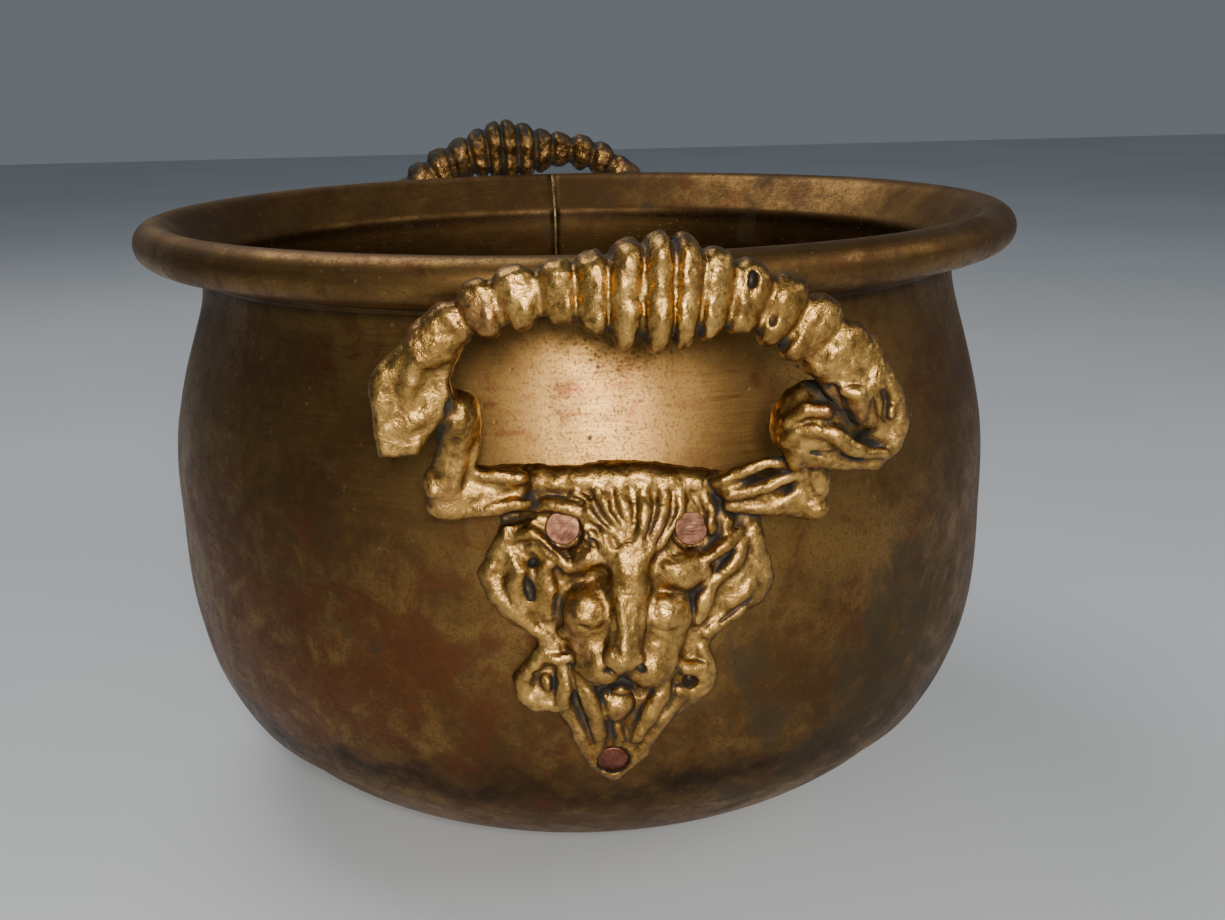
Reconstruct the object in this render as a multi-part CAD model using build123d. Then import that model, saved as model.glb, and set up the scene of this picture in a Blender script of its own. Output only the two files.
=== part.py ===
from build123d import *
import os
from math import acos, atan2, cos, degrees, hypot, sin

# Round-bellied sheet-brass planter pot with two cast, ribbed bail handles.
# Millimetres. Origin: centre of the base, on the plane it stands on. +Z is up,
# and the front handle faces -Y. The pot's own joint line is at the back, on +Y.

os.makedirs("parts", exist_ok=True)

# ---- sheet metal ----
SHEET = 1.2                     # thickness of wall and pan
BRAZE_GAP = 0.3                 # spelter layer between pan and wall
BRAZE_SLACK = 0.03
BRAZE_STEPS = 12                # straight steps in the layer's section
BRAZE_FOOT = 1.1                # height of its fillet
RIM_R = 150.0                   # outside of the rolled rim
BEAD_R = 6.75                   # outside radius of the rolled bead
BEAD_Z = 192.4
NECK_R = 128.0                  # form line at the neck, inside the sheet
NECK_Z = 180.0
CREASE_Z = 184.0                # where the neck turns outwards to the bead
BASE_R = 72.0                   # flat that the pot stands on
LAP_LOW, LAP_HIGH = 33.0, 45.5  # heights of the pan's lap joint
SEAM_WIDTH = 1.0                # brazed joint down the back
WIRE_SLACK = 0.05
# The form line: the surface that the sheet was raised on, as (radius, height).
FORM = [(102.5, 10.0), (121.2, 24.3), (134.2, 45.6), (140.7, 71.0), (141.8, 98.0),
        (140.8, 125.6), (135.2, 150.0), (130.6, 165.0)]

# ---- rivets ----
RIVET_SHANK_R = 1.9
RIVET_FACE_R = 4.6              # hammered end that shows on the mask
RIVET_HEAD_R = 6.5              # domed head inside the pot
RIVET_SLACK = 0.05
RIVET_SINK = 2.2                # length of the countersink and the end together
# Where the rivets stand on the front wall: (x, z), and how far below the mask's face.
RIVET_SEATS = {"left": (-16.4, 127.2, 0.4), "right": (16.8, 125.4, 0.4), "lower": (-4.5, 58.3, 2.2)}

# ---- handles ----
HANDLE_FIT = 0.1                # gap between casting and wall
PLATE = 6.0                     # thickness of the mask plate
BAIL_DEPTH = 0.62               # depth of the grip as a share of its height, at the crown
REAR_TURN = 4.7                 # the rear handle is this many degrees off opposite
REAR_RISE = 14.5                # and sits this much higher
REAR_TILT = 4.7                 # its casting is tipped to lie on the wall there
TILT_CENTRE = (0, -142, 92)     # middle of the front mask's back

BEAD_CENTRE_R = RIM_R - BEAD_R
FRONT, REAR = "front", "rear"
STANDING = (Align.CENTER, Align.CENTER, Align.MIN)


def axis_face(*edges):
    """A face in the X-Z plane (X is the radius), from edges drawn as (radius, height)."""
    return Plane.XZ * make_face([*edges])


def form_line():
    """The form line from the edge of the flat base to the neck."""
    points = [(BASE_R, 0), *FORM, (NECK_R, NECK_Z)]
    return Spline(points, tangents=[(1, 0), (0, 1)])


def form_param(line, height):
    """Where on the form line a height lies, by bisection."""
    low, high = 0.0, 1.0
    for _ in range(40):
        mid = (low + high) / 2
        if (line @ mid).Y < height:
            low = mid
        else:
            high = mid
    return low


def offset_line(line, out, start, end, count=16):
    """A curve a given distance outside the form line, between two of its places."""
    points = []
    for i in range(count + 1):
        u = start + (end - start) * i / count
        along = line % u
        points.append(line @ u + Vector(along.Y, -along.X) * out)
    ends = [line % start, line % end]
    return Spline(points, tangents=[(t.X, t.Y) for t in ends])


def band(line, inner, outer, start, end):
    """Closed outline between two offsets of the form line."""
    near = offset_line(line, inner, start, end)
    far = offset_line(line, outer, start, end)
    return [near, Line(near @ 1, far @ 1), far, Line(far @ 0, near @ 0)]


def tangent_point(point, above):
    """Where a line from a point touches the bead's centre circle."""
    radius = BEAD_R - SHEET / 2
    dx, dy = BEAD_CENTRE_R - point[0], BEAD_Z - point[1]
    turn = acos(radius / hypot(dx, dy)) * (-1 if above else 1)
    angle = atan2(-dy, -dx) + turn
    return (BEAD_CENTRE_R + radius * cos(angle), BEAD_Z + radius * sin(angle))


def rolled_lip():
    """Section of the lip: out from the neck, round the wire and back to the neck."""
    neck = NECK_R + BRAZE_GAP + SHEET / 2
    skirt = neck + SHEET + WIRE_SLACK * 2
    crease, tuck = (neck, CREASE_Z), (skirt, CREASE_Z - 1.1)
    over, under = tangent_point(crease, True), tangent_point(tuck, False)
    outside = (RIM_R - SHEET / 2, BEAD_Z)
    path = Wire([Line((neck, NECK_Z), crease), Line(crease, over),
                 ThreePointArc(over, outside, under), Line(under, tuck),
                 Line(tuck, (skirt, NECK_Z + 0.4))])
    return trace(path, SHEET)


def revolved(section, width=0.0):
    """Turn a section about Z, leaving or keeping only the seam's width at +Y."""
    gap = degrees(SEAM_WIDTH / RIM_R)
    if width:
        return Rot(0, 0, 90 - gap / 2) * revolve(section, Axis.Z, gap)
    return Rot(0, 0, 90 + gap / 2) * revolve(section, Axis.Z, 360 - gap)


def wall_section(line):
    start, end = form_param(line, LAP_LOW), 1.0
    outline = band(line, BRAZE_GAP, BRAZE_GAP + SHEET, start, end)
    return Plane.XZ * (make_face(outline) + rolled_lip())


def base_pan(line):
    """The bottom and the lower wall, raised from one disc."""
    lap = form_param(line, LAP_HIGH)
    outer = offset_line(line, 0, 0, lap)
    inner = offset_line(line, -SHEET, 0, lap)
    floor_out = Line((0, 0), (BASE_R, 0))
    floor_in = Line((BASE_R, SHEET), (0, SHEET))
    edges = [floor_out, outer, Line(outer @ 1, inner @ 1), inner, floor_in,
             Line((0, SHEET), (0, 0))]
    return revolve(axis_face(*edges), Axis.Z)


def beside(line, height, out):
    """The point a given distance outside the form line, square to it, at a height on it."""
    u = form_param(line, height)
    along = line % u
    point = line @ u + Vector(along.Y, -along.X) * out
    return (point.X, point.Y)


def base_braze(line):
    """Spelter in the lap, with the fillet that it leaves under the wall's raw edge."""
    rise = (LAP_HIGH - LAP_LOW) / BRAZE_STEPS
    heights = [LAP_LOW + rise * i for i in range(BRAZE_STEPS + 1)]
    near = [beside(line, z, BRAZE_SLACK) for z in heights]
    far = [beside(line, z, BRAZE_GAP - BRAZE_SLACK) for z in heights]
    corner = beside(line, LAP_LOW - BRAZE_SLACK * 2, BRAZE_GAP + SHEET * 0.8)
    foot = beside(line, LAP_LOW - BRAZE_FOOT, BRAZE_SLACK)
    return revolve(axis_face(Polyline(foot, *near, *reversed(far), corner, close=True)), Axis.Z)


def rim_wire():
    wire_r = BEAD_R - SHEET - WIRE_SLACK
    return Pos(0, 0, BEAD_Z) * Torus(BEAD_CENTRE_R, wire_r)


def body_block(line, out):
    """Everything inside the wall's outer face, grown by a distance."""
    edge = offset_line(line, BRAZE_GAP + SHEET + out, form_param(line, LAP_LOW - 8), 1.0, 24)
    top, bottom = edge @ 1, edge @ 0
    edges = [edge, Line(top, (0, top.Y)), Line((0, top.Y), (0, bottom.Y)), Line((0, bottom.Y), bottom)]
    return revolve(axis_face(*edges), Axis.Z)


def wall_radius(line, height):
    """Radius of the wall's outer face at a height, near enough."""
    u = form_param(line, height)
    along = line % u
    return (line @ u).X + along.Y * (BRAZE_GAP + SHEET)


# ---------------------------------------------------------------- handle casting

# Half outline of the mask, from the top corner down to the jaw: (x, z), on the left
# and on the right. The two sides differ, as they do on the pattern it was cast from.
MASK_LEFT = [(-37.5, 143.5), (-36.5, 131), (-33, 127), (-39.5, 117.5), (-36.5, 108.5),
             (-23, 94), (-31.5, 86), (-28, 77.5), (-18.5, 73.5)]
MASK_TIP = [(-8, 52.5), (-4.6, 49.5), (-0.5, 53), (9, 66)]
MASK_RIGHT = [(20.5, 74), (24.5, 84), (20, 93.5), (35, 103), (41, 110), (37.5, 116),
              (38.5, 128), (36.5, 143.5)]
# Raised features of the face: (x, z, stand-off of the dome's flat back, radius).
LUMPS = [(-8.5, 104, 145.0, 6.5), (9.0, 102, 145.0, 6.5), (-15, 112, 144.5, 6.0),
         (14.5, 111, 144.5, 6.0), (-1.0, 117, 145.5, 8.0), (-1.6, 94.5, 146.5, 7.5),
         (-6.5, 89, 145.5, 5.5), (4.0, 88.5, 145.5, 5.5), (-1.6, 82, 145.0, 5.0),
         (-2.8, 75, 144.5, 5.0), (-26, 85, 143.0, 3.5), (19, 84, 144.0, 3.5)]
# Ribs of the grip: (x, centre height, half height). The crown is fattest.
RIBS = [(-44.1, 183.1, 7.6), (-37.1, 187.4, 8.0), (-26.9, 191.9, 8.0), (-17.5, 193.6, 8.4),
        (-9.9, 193.6, 9.4), (-2.0, 193.0, 12.0), (5.7, 192.6, 14.3), (12.6, 192.5, 13.6),
        (19.9, 191.8, 11.9), (27.8, 190.1, 9.9), (36.5, 186.7, 8.6), (43.9, 182.1, 8.2),
        (51.9, 174.8, 8.2)]
RIB_VALLEY = 0.8                # size of a valley between ribs, as a share of the ribs beside it
GRIP_OUT_END, GRIP_OUT_CROWN = 155.5, 166.0
# Branches from the grip to the plate: (x, stand-off, z, radius) at each bend.
LEFT_ARM = [(-48, 155.5, 177.5, 6.0), (-58, 152.5, 169.5, 5.6), (-60, 147.5, 153.5, 5.4),
            (-46, 146, 154, 6.2), (-49, 144, 143, 5.0), (-48.5, 142.5, 134.5, 5.6), (-34, 143.5, 138, 4.8)]
RIGHT_ARM = [(54, 155.5, 171.5, 6.6), (61, 152.5, 161.5, 7.0), (56, 148.5, 152.5, 9.4),
             (50, 145, 141, 5.6), (51, 142.5, 131.5, 6.2), (35, 143.5, 139, 4.8)]
BEAK = [(60, 151, 152.5, 8.0), (69, 150.5, 148.5, 4.6)]


def grip_out(x):
    """Stand-off of the grip's centre from the pot's axis: it leans out to the crown."""
    share = min(abs(x - 5.0) / 52.0, 1.0)
    return GRIP_OUT_CROWN + (GRIP_OUT_END - GRIP_OUT_CROWN) * share ** 1.6


def grip_sections():
    """Oval sections along the grip: a crest at each rib and a valley between ribs."""
    stations = []
    for i, (x, z, half) in enumerate(RIBS):
        stations.append((x, z, half, half * BAIL_DEPTH + 1.2))
        if i + 1 < len(RIBS):
            nx, nz, nhalf = RIBS[i + 1]
            small = min(half, nhalf) * RIB_VALLEY
            stations.append(((x + nx) / 2, (z + nz) / 2, small, small * BAIL_DEPTH + 1.2))
    faces = []
    for i, (x, z, half, depth) in enumerate(stations):
        before = stations[max(i - 1, 0)]
        after = stations[min(i + 1, len(stations) - 1)]
        tilt = atan2(after[1] - before[1], after[0] - before[0])
        plane = Plane(origin=(x, -grip_out(x), z), x_dir=(0, 1, 0), z_dir=(cos(tilt), 0, sin(tilt)))
        faces.append(plane * Ellipse(depth, half))
    return faces


def ball(x, out, z, radius):
    return Pos(x, -out, z) * Sphere(radius)


def rod(start, end):
    """Tapered round bar between two balls."""
    a, b = Vector(start[0], -start[1], start[2]), Vector(end[0], -end[1], end[2])
    length = (b - a).length
    plane = Plane(origin=a, z_dir=b - a)
    bar = plane * Cone(start[3], end[3] - 0.01, length, align=STANDING)
    return bar + ball(*end)


def branch(nodes):
    solid = ball(*nodes[0])
    for start, end in zip(nodes, nodes[1:]):
        solid += rod(start, end)
    return solid


def dome(x, z, out, radius):
    """Front half of a ball, its flat back buried in the plate."""
    half = Box(2 * radius, radius, 2 * radius, align=(Align.CENTER, Align.MAX, Align.CENTER))
    return Pos(x, -out, z) * (Sphere(radius) & half)


def place(shape, which):
    """Front handle as modelled; rear handle tipped, raised and turned to the back."""
    if which == FRONT:
        return shape
    tip = Pos(*TILT_CENTRE) * Rot(-REAR_TILT, 0, 0) * Pos(*[-c for c in TILT_CENTRE])
    return Rot(0, 0, 180 + REAR_TURN) * Pos(0, 0, REAR_RISE) * tip * shape


def mask_plate(line, which):
    """The lion mask's plate, curved to lie on the wall."""
    outline = Polyline(*MASK_LEFT, *MASK_TIP, *MASK_RIGHT, close=True)
    blank = extrude(Plane.XZ * make_face(outline), amount=RIM_R + 10)
    return (place(blank, which) & body_block(line, PLATE)) - body_block(line, HANDLE_FIT)


def casting(line, which):
    """One handle: grip, two arms and the mask, cast in one piece."""
    solid = mask_plate(line, which)
    for lump in LUMPS:
        solid += place(dome(*lump), which)
    grip = loft(grip_sections(), ruled=True)
    for nodes in (LEFT_ARM, RIGHT_ARM, BEAK):
        grip += branch(nodes)
    return solid + place(grip, which)


def rivet_planes(line, which):
    """Each rivet's plane, on the wall's outer face and looking outwards."""
    planes = {}
    for name, (x, z, _) in RIVET_SEATS.items():
        seat = place(Pos(x, -wall_radius(line, z), z), which).position
        along = line % form_param(line, seat.Z)
        out = Vector(seat.X, seat.Y).normalized()
        foot = out * wall_radius(line, seat.Z) + Vector(0, 0, seat.Z)
        planes[name] = Plane(origin=foot, z_dir=out * along.Y - Vector(0, 0, along.X))
    return planes


def shank(plane, radius, low, high):
    base = plane.offset(low)
    return base * Cylinder(radius, high - low, align=STANDING)


def countersink(plane, depth, slack):
    """Cone that the rivet's hammered end fills, down from the mask's surface."""
    start = plane.offset(depth - RIVET_SINK)
    rise = RIVET_SINK - 0.6
    cone = Cone(RIVET_SHANK_R + slack, RIVET_FACE_R + slack, rise, align=STANDING)
    face = shank(plane, RIVET_FACE_R + slack, depth - 0.6, depth)
    return start * cone + face


def rivet(plane, depth):
    """Copper rivet: flush hammered end outside, shank, domed head inside."""
    body = shank(plane, RIVET_SHANK_R, -SHEET - 1.0, depth - RIVET_SINK) + countersink(plane, depth, 0)
    inside = plane.offset(-SHEET - 0.5)
    rise = 3.2
    dome_r = (RIVET_HEAD_R ** 2 + rise ** 2) / (2 * rise)
    dome = Pos(0, 0, dome_r - rise) * Sphere(dome_r)
    slab = Cylinder(RIVET_HEAD_R + 1, rise, align=(Align.CENTER, Align.CENTER, Align.MAX))
    collar = Cylinder(RIVET_HEAD_R, 0.8, align=STANDING)
    return body, inside * ((dome & slab) + collar)


def opening(plane, depth):
    """Drilling for the shank, countersink for the end, and the pocket above it."""
    cut = shank(plane, RIVET_SHANK_R + RIVET_SLACK, -6, depth - RIVET_SINK + 0.01)
    cut += countersink(plane, depth, RIVET_SLACK)
    return cut + shank(plane, RIVET_FACE_R + RIVET_SLACK, depth, 20)


def build():
    line = form_line()
    section = wall_section(line)
    nodes = {
        "body_wall": revolved(section),
        "wall_seam_braze": revolved(section, SEAM_WIDTH),
        "base_pan": base_pan(line),
        "base_seam_braze": base_braze(line),
        "rim_wire": rim_wire(),
    }
    inside = body_block(line, -SHEET - 0.02)
    for which in (FRONT, REAR):
        handle = casting(line, which)
        for name, plane in rivet_planes(line, which).items():
            depth = PLATE - RIVET_SEATS[name][2]
            handle -= opening(plane, depth)
            nodes["body_wall"] -= shank(plane, RIVET_SHANK_R + RIVET_SLACK, -8, 8)
            body, head = rivet(plane, depth)
            nodes[f"{which}_rivet_{name}"] = body + (head & inside)
        nodes[f"{which}_handle"] = handle
    return nodes


if __name__ == "__main__":
    for name, piece in build().items():
        export_step(piece, f"parts/{name}.step")
        print(name, round(piece.volume, 1), len(piece.solids()))
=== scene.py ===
from math import cos, pi, radians, sin

import bpy
import numpy as np
from mathutils import Matrix, Vector


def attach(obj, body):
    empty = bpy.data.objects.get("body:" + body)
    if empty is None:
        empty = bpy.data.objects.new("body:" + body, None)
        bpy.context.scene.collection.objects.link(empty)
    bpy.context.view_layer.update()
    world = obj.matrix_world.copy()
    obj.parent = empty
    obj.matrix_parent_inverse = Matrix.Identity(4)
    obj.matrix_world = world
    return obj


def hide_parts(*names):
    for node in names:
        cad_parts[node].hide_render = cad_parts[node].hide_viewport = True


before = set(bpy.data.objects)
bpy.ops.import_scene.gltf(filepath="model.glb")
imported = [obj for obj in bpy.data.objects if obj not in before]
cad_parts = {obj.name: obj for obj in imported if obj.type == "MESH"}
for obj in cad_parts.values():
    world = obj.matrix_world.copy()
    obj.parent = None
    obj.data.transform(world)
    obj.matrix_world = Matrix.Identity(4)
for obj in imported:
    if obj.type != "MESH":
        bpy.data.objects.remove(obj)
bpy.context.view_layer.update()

# Brass planter pot. Shapes are worked out in millimetres and handed to Blender in metres.
# The handle's own axes are x across, out from the pot's axis, and z up from the table.

MM = 0.001
BODY = "root"

# ---------------------------------------------------------------- pot, as in the CAD
SHEET = 1.2
BRAZE_GAP = 0.3
RIM_R, BEAD_R, BEAD_Z = 150.0, 6.75, 192.4
BEAD_CENTRE_R = RIM_R - BEAD_R
NECK_R, NECK_Z, CREASE_Z = 128.0, 180.0, 184.0
BASE_R = 72.0
LAP_LOW, LAP_HIGH = 33.0, 45.5
SEAM_WIDTH = 1.0
WIRE_SLACK = 0.05
CORNER_SOFTNESS = 20            # smoothing passes that round the sheet's folds
LIP_FROM = 174.0                # height from which the sheet's section is drawn finer
FORM = [(102.5, 10.0), (121.2, 24.3), (134.2, 45.6), (140.7, 71.0), (141.8, 98.0),
        (140.8, 125.6), (135.2, 150.0), (130.6, 165.0)]
PLATE = 6.0
PLATE_GAP = 0.1                 # between the casting's back and the wall
PLATE_TOP = 144.0
REAR_TURN, REAR_RISE, REAR_TILT = 4.7, 14.5, 4.7
TILT_CENTRE = (0.0, -142.0, 92.0)
RIVET_SEATS = {"left": (-16.4, 127.2, 0.4), "right": (16.8, 125.4, 0.4), "lower": (-4.5, 58.3, 2.2)}
RIVET_FACE_R, RIVET_SHANK_R = 4.6, 1.9
RIVET_HEAD_R, RIVET_HEAD_RISE = 6.5, 3.2
FILE_TURN = {"left": -48, "right": 4, "lower": 70}      # degrees, of the scratches on each face


# ---------------------------------------------------------------- noise
CORNERS = [(i, j, k) for i in (0, 1) for j in (0, 1) for k in (0, 1)]


def lattice(seed, size=32):
    return np.random.default_rng(seed).random((size, size, size)) * 2 - 1


def between(table, i, f):
    """The table's values between eight corners, from corner i by shares f; it repeats past its edges."""
    nx, ny, nz = table.shape
    total = np.zeros(len(f))
    for ox, oy, oz in CORNERS:
        w = (f[:, 0] if ox else 1 - f[:, 0]) * (f[:, 1] if oy else 1 - f[:, 1])
        w = w * (f[:, 2] if oz else 1 - f[:, 2])
        total += w * table[(i[:, 0] + ox) % nx, (i[:, 1] + oy) % ny, (i[:, 2] + oz) % nz]
    return total


def noise(points, scale, table):
    """Smooth value noise, -1 to 1, at points; scale is the size of a bump."""
    p = np.asarray(points) / scale
    i = np.floor(p).astype(int)
    f = p - i
    return between(table, i, f * f * (3 - 2 * f))


# ---------------------------------------------------------------- meshes
def mesh_piece(name, verts_mm, faces, material, replaced=()):
    """A smooth-shaded mesh piece that rides on the pot."""
    mesh = bpy.data.meshes.new(name)
    verts = np.asarray(verts_mm, np.float64) * MM
    mesh.vertices.add(len(verts))
    mesh.vertices.foreach_set("co", verts.ravel())
    if isinstance(faces, np.ndarray):
        faces = [faces]
    corners = np.concatenate([np.asarray(f, np.int32).ravel() for f in faces])
    sizes = np.concatenate([np.full(len(f), f.shape[1]) for f in faces])
    mesh.loops.add(len(corners))
    mesh.loops.foreach_set("vertex_index", corners)
    mesh.polygons.add(len(sizes))
    mesh.polygons.foreach_set("loop_start", np.concatenate([[0], np.cumsum(sizes)[:-1]]).astype(np.int32))
    mesh.polygons.foreach_set("use_smooth", np.ones(len(sizes), bool))
    mesh.update(calc_edges=True)
    mesh.validate()
    piece = bpy.data.objects.new(name, mesh)
    bpy.context.scene.collection.objects.link(piece)
    mesh.materials.append(material)
    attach(piece, BODY)
    if replaced:
        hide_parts(*replaced)
    return piece


def form_line(count=600):
    """Points (radius, height) of a cubic through FORM, flat at the foot and upright at the neck."""
    pts = np.array([(BASE_R, 0.0), *FORM, (NECK_R, NECK_Z)])
    t = np.concatenate([[0], np.cumsum(np.linalg.norm(np.diff(pts, axis=0), axis=1))])
    step = np.diff(t)
    n = len(pts)
    a = np.zeros((n, n))
    rhs = np.zeros((n, 2))
    a[0, 0] = a[-1, -1] = 1
    rhs[0], rhs[-1] = (1, 0), (0, 1)
    for i in range(1, n - 1):
        a[i, i - 1], a[i, i], a[i, i + 1] = step[i], 2 * (step[i - 1] + step[i]), step[i - 1]
        before, after = pts[i] - pts[i - 1], pts[i + 1] - pts[i]
        rhs[i] = 3 * (step[i] * before / step[i - 1] + step[i - 1] * after / step[i])
    slope = np.linalg.solve(a, rhs)
    u = np.linspace(0, t[-1], count)
    k = np.clip(np.searchsorted(t, u) - 1, 0, n - 2)
    s = ((u - t[k]) / step[k])[:, None]
    h = step[k][:, None]
    line = ((2 * s**3 - 3 * s**2 + 1) * pts[k] + (s**3 - 2 * s**2 + s) * h * slope[k]
            + (-2 * s**3 + 3 * s**2) * pts[k + 1] + (s**3 - s**2) * h * slope[k + 1])
    return line


FORM_LINE = form_line()


def offset_line(out, low, high, count):
    """The form line moved outwards, between two heights."""
    along = np.gradient(FORM_LINE, axis=0)
    along /= np.linalg.norm(along, axis=1)[:, None]
    moved = FORM_LINE + np.stack([along[:, 1], -along[:, 0]], 1) * out
    heights = FORM_LINE[:, 1]
    k = np.arange(len(heights))
    u = np.linspace(np.interp(low, heights, k), np.interp(high, heights, k), count)
    return np.stack([np.interp(u, k, moved[:, i]) for i in (0, 1)], 1)


WALL_LINE = offset_line(BRAZE_GAP + SHEET, 1.0, NECK_Z, 400)


def wall_radius(z):
    """Radius of the wall's outer face at a height, mm."""
    return np.interp(z, WALL_LINE[:, 1], WALL_LINE[:, 0]).astype(np.float32)


# ---------------------------------------------------------------- sculpting field
STEP = 0.63   # mm between samples
FAR = 30.0
MARGIN = 7.0


class Field:
    """Distance samples on a box in the handle's own axes. A place is (x, z, depth). The depth is the
    height above the wall while on_wall is set, for the mask, and else the stand-off from the pot's axis."""

    def __init__(self, low, high):
        self.x, self.out, self.z = [np.arange(a, b, STEP, dtype=np.float32) for a, b in zip(low, high)]
        self.low = np.array(low, np.float32)
        self.d = np.full((len(self.x), len(self.out), len(self.z)), FAR, np.float32)
        across = self.x[:, None, None] ** 2 + self.out[None, :, None] ** 2
        self.h = np.sqrt(across) - wall_radius(self.z)[None, None, :]
        self.on_wall = False

    def window(self, low, high):
        """Slices of the samples between two corners in the handle's axes."""
        spans = []
        for axis, a, b in zip((self.x, self.out, self.z), low, high):
            spans.append(slice(int(np.searchsorted(axis, a)), int(np.searchsorted(axis, b))))
        return tuple(spans)

    def wall_window(self, low, high):
        """The same between two heights above the wall."""
        side = max(abs(low[0]), abs(high[0]))
        radii = wall_radius(np.array([low[2], (low[2] + high[2]) / 2, high[2]]))
        inner = np.sqrt(max((radii.min() + low[1]) ** 2 - side**2, 1.0)) - 1
        return self.window((low[0], inner, low[2]), (high[0], radii.max() + high[1] + 1, high[2]))

    def region(self, low, high):
        """Slices and coordinates of the samples between two corners (x, depth, z)."""
        span = self.wall_window(low, high) if self.on_wall else self.window(low, high)
        depth = self.h[span] if self.on_wall else self.out[span[1]][None, :, None]
        return span, self.x[span[0]][:, None, None], depth, self.z[span[2]][None, None, :]

    def merge(self, span, value, blend, carve=False):
        """Add a form, or cut it out, with a soft join."""
        now = self.d[span]
        if carve:
            mix = np.clip(blend - np.abs(now + value), 0, None)
            self.d[span] = np.maximum(now, -value) + mix * mix / (4 * blend)
        else:
            mix = np.clip(blend - np.abs(now - value), 0, None)
            self.d[span] = np.minimum(now, value) - mix * mix / (4 * blend)

    def ridge(self, points, blend, carve=False):
        """Tapered ridge through points (x, z, depth, radius)."""
        pts = np.array([(p[0], p[2], p[1]) for p in points], np.float32)
        radii = [p[3] for p in points]
        reach = max(radii) + MARGIN
        span, x, depth, z = self.region(pts.min(0) - reach, pts.max(0) + reach)
        best = None
        for a, b, ra, rb in zip(pts, pts[1:], radii, radii[1:]):
            ab = b - a
            px, pd, pz = x - a[0], depth - a[1], z - a[2]
            t = np.clip((px * ab[0] + pd * ab[1] + pz * ab[2]) / max(float(ab @ ab), 1e-6), 0, 1)
            d = np.sqrt((px - t * ab[0]) ** 2 + (pd - t * ab[1]) ** 2 + (pz - t * ab[2]) ** 2)
            d = d - (ra + (rb - ra) * t)
            best = d if best is None else np.minimum(best, d)
        self.merge(span, best, blend, carve)

    def groove(self, points, blend):
        self.ridge(points, blend, carve=True)

    def blob(self, centre, radii, turn, blend, carve=False):
        """Ellipsoid at (x, z, depth) with radii (across, up, deep), turned in the x-z plane."""
        c = np.array((centre[0], centre[2], centre[1]))
        reach = max(radii) + MARGIN
        span, x, depth, z = self.region(c - reach, c + reach)
        ca, sa = cos(radians(turn)), sin(radians(turn))
        px, pz = x - c[0], z - c[2]
        u, v, w = (ca * px + sa * pz) / radii[0], (ca * pz - sa * px) / radii[1], (depth - c[1]) / radii[2]
        k0 = np.sqrt(u * u + v * v + w * w)
        k1 = np.sqrt((u / radii[0]) ** 2 + (v / radii[1]) ** 2 + (w / radii[2]) ** 2) + 1e-6
        self.merge(span, k0 * (k0 - 1) / k1, blend, carve)

    def hollow(self, centre, radii, turn, blend):
        self.blob(centre, radii, turn, blend, carve=True)

    def slab(self, outline, low, high, rounding, blend=1.0):
        """Flat piece with an outline in x-z, between two depths, with rounded edges."""
        pts = np.array(outline, np.float32)
        lo = (pts[:, 0].min() - MARGIN, low - MARGIN, pts[:, 1].min() - MARGIN)
        hi = (pts[:, 0].max() + MARGIN, high + MARGIN, pts[:, 1].max() + MARGIN)
        span, x, depth, z = self.region(lo, hi)
        flat = outline_distance(pts, x[:, 0, 0], z[0, 0, :])[:, None, :]
        thick = np.maximum(depth - high, low - depth)
        mix = np.clip(rounding - np.abs(flat - thick), 0, None)
        self.merge(span, np.maximum(flat, thick) + mix * mix / (4 * rounding), blend)


def outline_distance(pts, xs, zs):
    """Signed distance to a closed outline on a grid, negative inside."""
    gx, gz = np.meshgrid(xs, zs, indexing="ij")
    best = np.full(gx.shape, 1e9, np.float32)
    inside = np.zeros(gx.shape, bool)
    for a, b in zip(pts, np.roll(pts, -1, axis=0)):
        ex, ez = b - a
        wx, wz = gx - a[0], gz - a[1]
        t = np.clip((wx * ex + wz * ez) / (ex * ex + ez * ez), 0, 1)
        best = np.minimum(best, (wx - t * ex) ** 2 + (wz - t * ez) ** 2)
        if ez != 0:
            inside ^= ((a[1] > gz) != (b[1] > gz)) & (gx < a[0] + (gz - a[1]) * ex / ez)
    return np.where(inside, -1, 1) * np.sqrt(best)


def surface(d, low):
    """Quads of the zero surface, with one vertex in each cell that it crosses."""
    inside = d < 0
    n = [s - 1 for s in d.shape]
    total = np.zeros(n, np.uint8)
    for i, j, k in CORNERS:
        total += inside[i:n[0] + i, j:n[1] + j, k:n[2] + k]
    cells = np.argwhere((total > 0) & (total < 8))
    index = np.full(n, -1, np.int32)
    index[tuple(cells.T)] = np.arange(len(cells))
    place, count = np.zeros((len(cells), 3)), np.zeros(len(cells))
    for o in CORNERS:
        for axis in range(3):
            if o[axis]:
                continue
            e = list(o)
            e[axis] = 1
            da, db = d[tuple((cells + o).T)], d[tuple((cells + e).T)]
            cut = (da < 0) != (db < 0)
            point = cells + np.array(o, float)
            point[:, axis] += np.where(cut, da / np.where(cut, da - db, 1), 0)
            place[cut] += point[cut]
            count[cut] += 1
    place /= count[:, None]
    quads = []
    for axis in range(3):
        u, v = [(1, 2), (2, 0), (0, 1)][axis]
        near, far = [slice(None)] * 3, [slice(None)] * 3
        near[axis], far[axis] = slice(0, -1), slice(1, None)
        a, b = inside[tuple(near)], inside[tuple(far)]
        for flip, cross in ((False, a & ~b), (True, ~a & b)):
            where = np.argwhere(cross)
            keep = (where[:, u] > 0) & (where[:, v] > 0) & (where[:, u] < n[u]) & (where[:, v] < n[v])
            where = where[keep]
            ring = []
            for du, dv in ((-1, -1), (0, -1), (0, 0), (-1, 0)):
                cell = where.copy()
                cell[:, u] += du
                cell[:, v] += dv
                ring.append(index[tuple(cell.T)])
            quads.append(np.stack(ring[::-1] if flip else ring, 1))
    return low + place * STEP, np.concatenate(quads)


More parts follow.
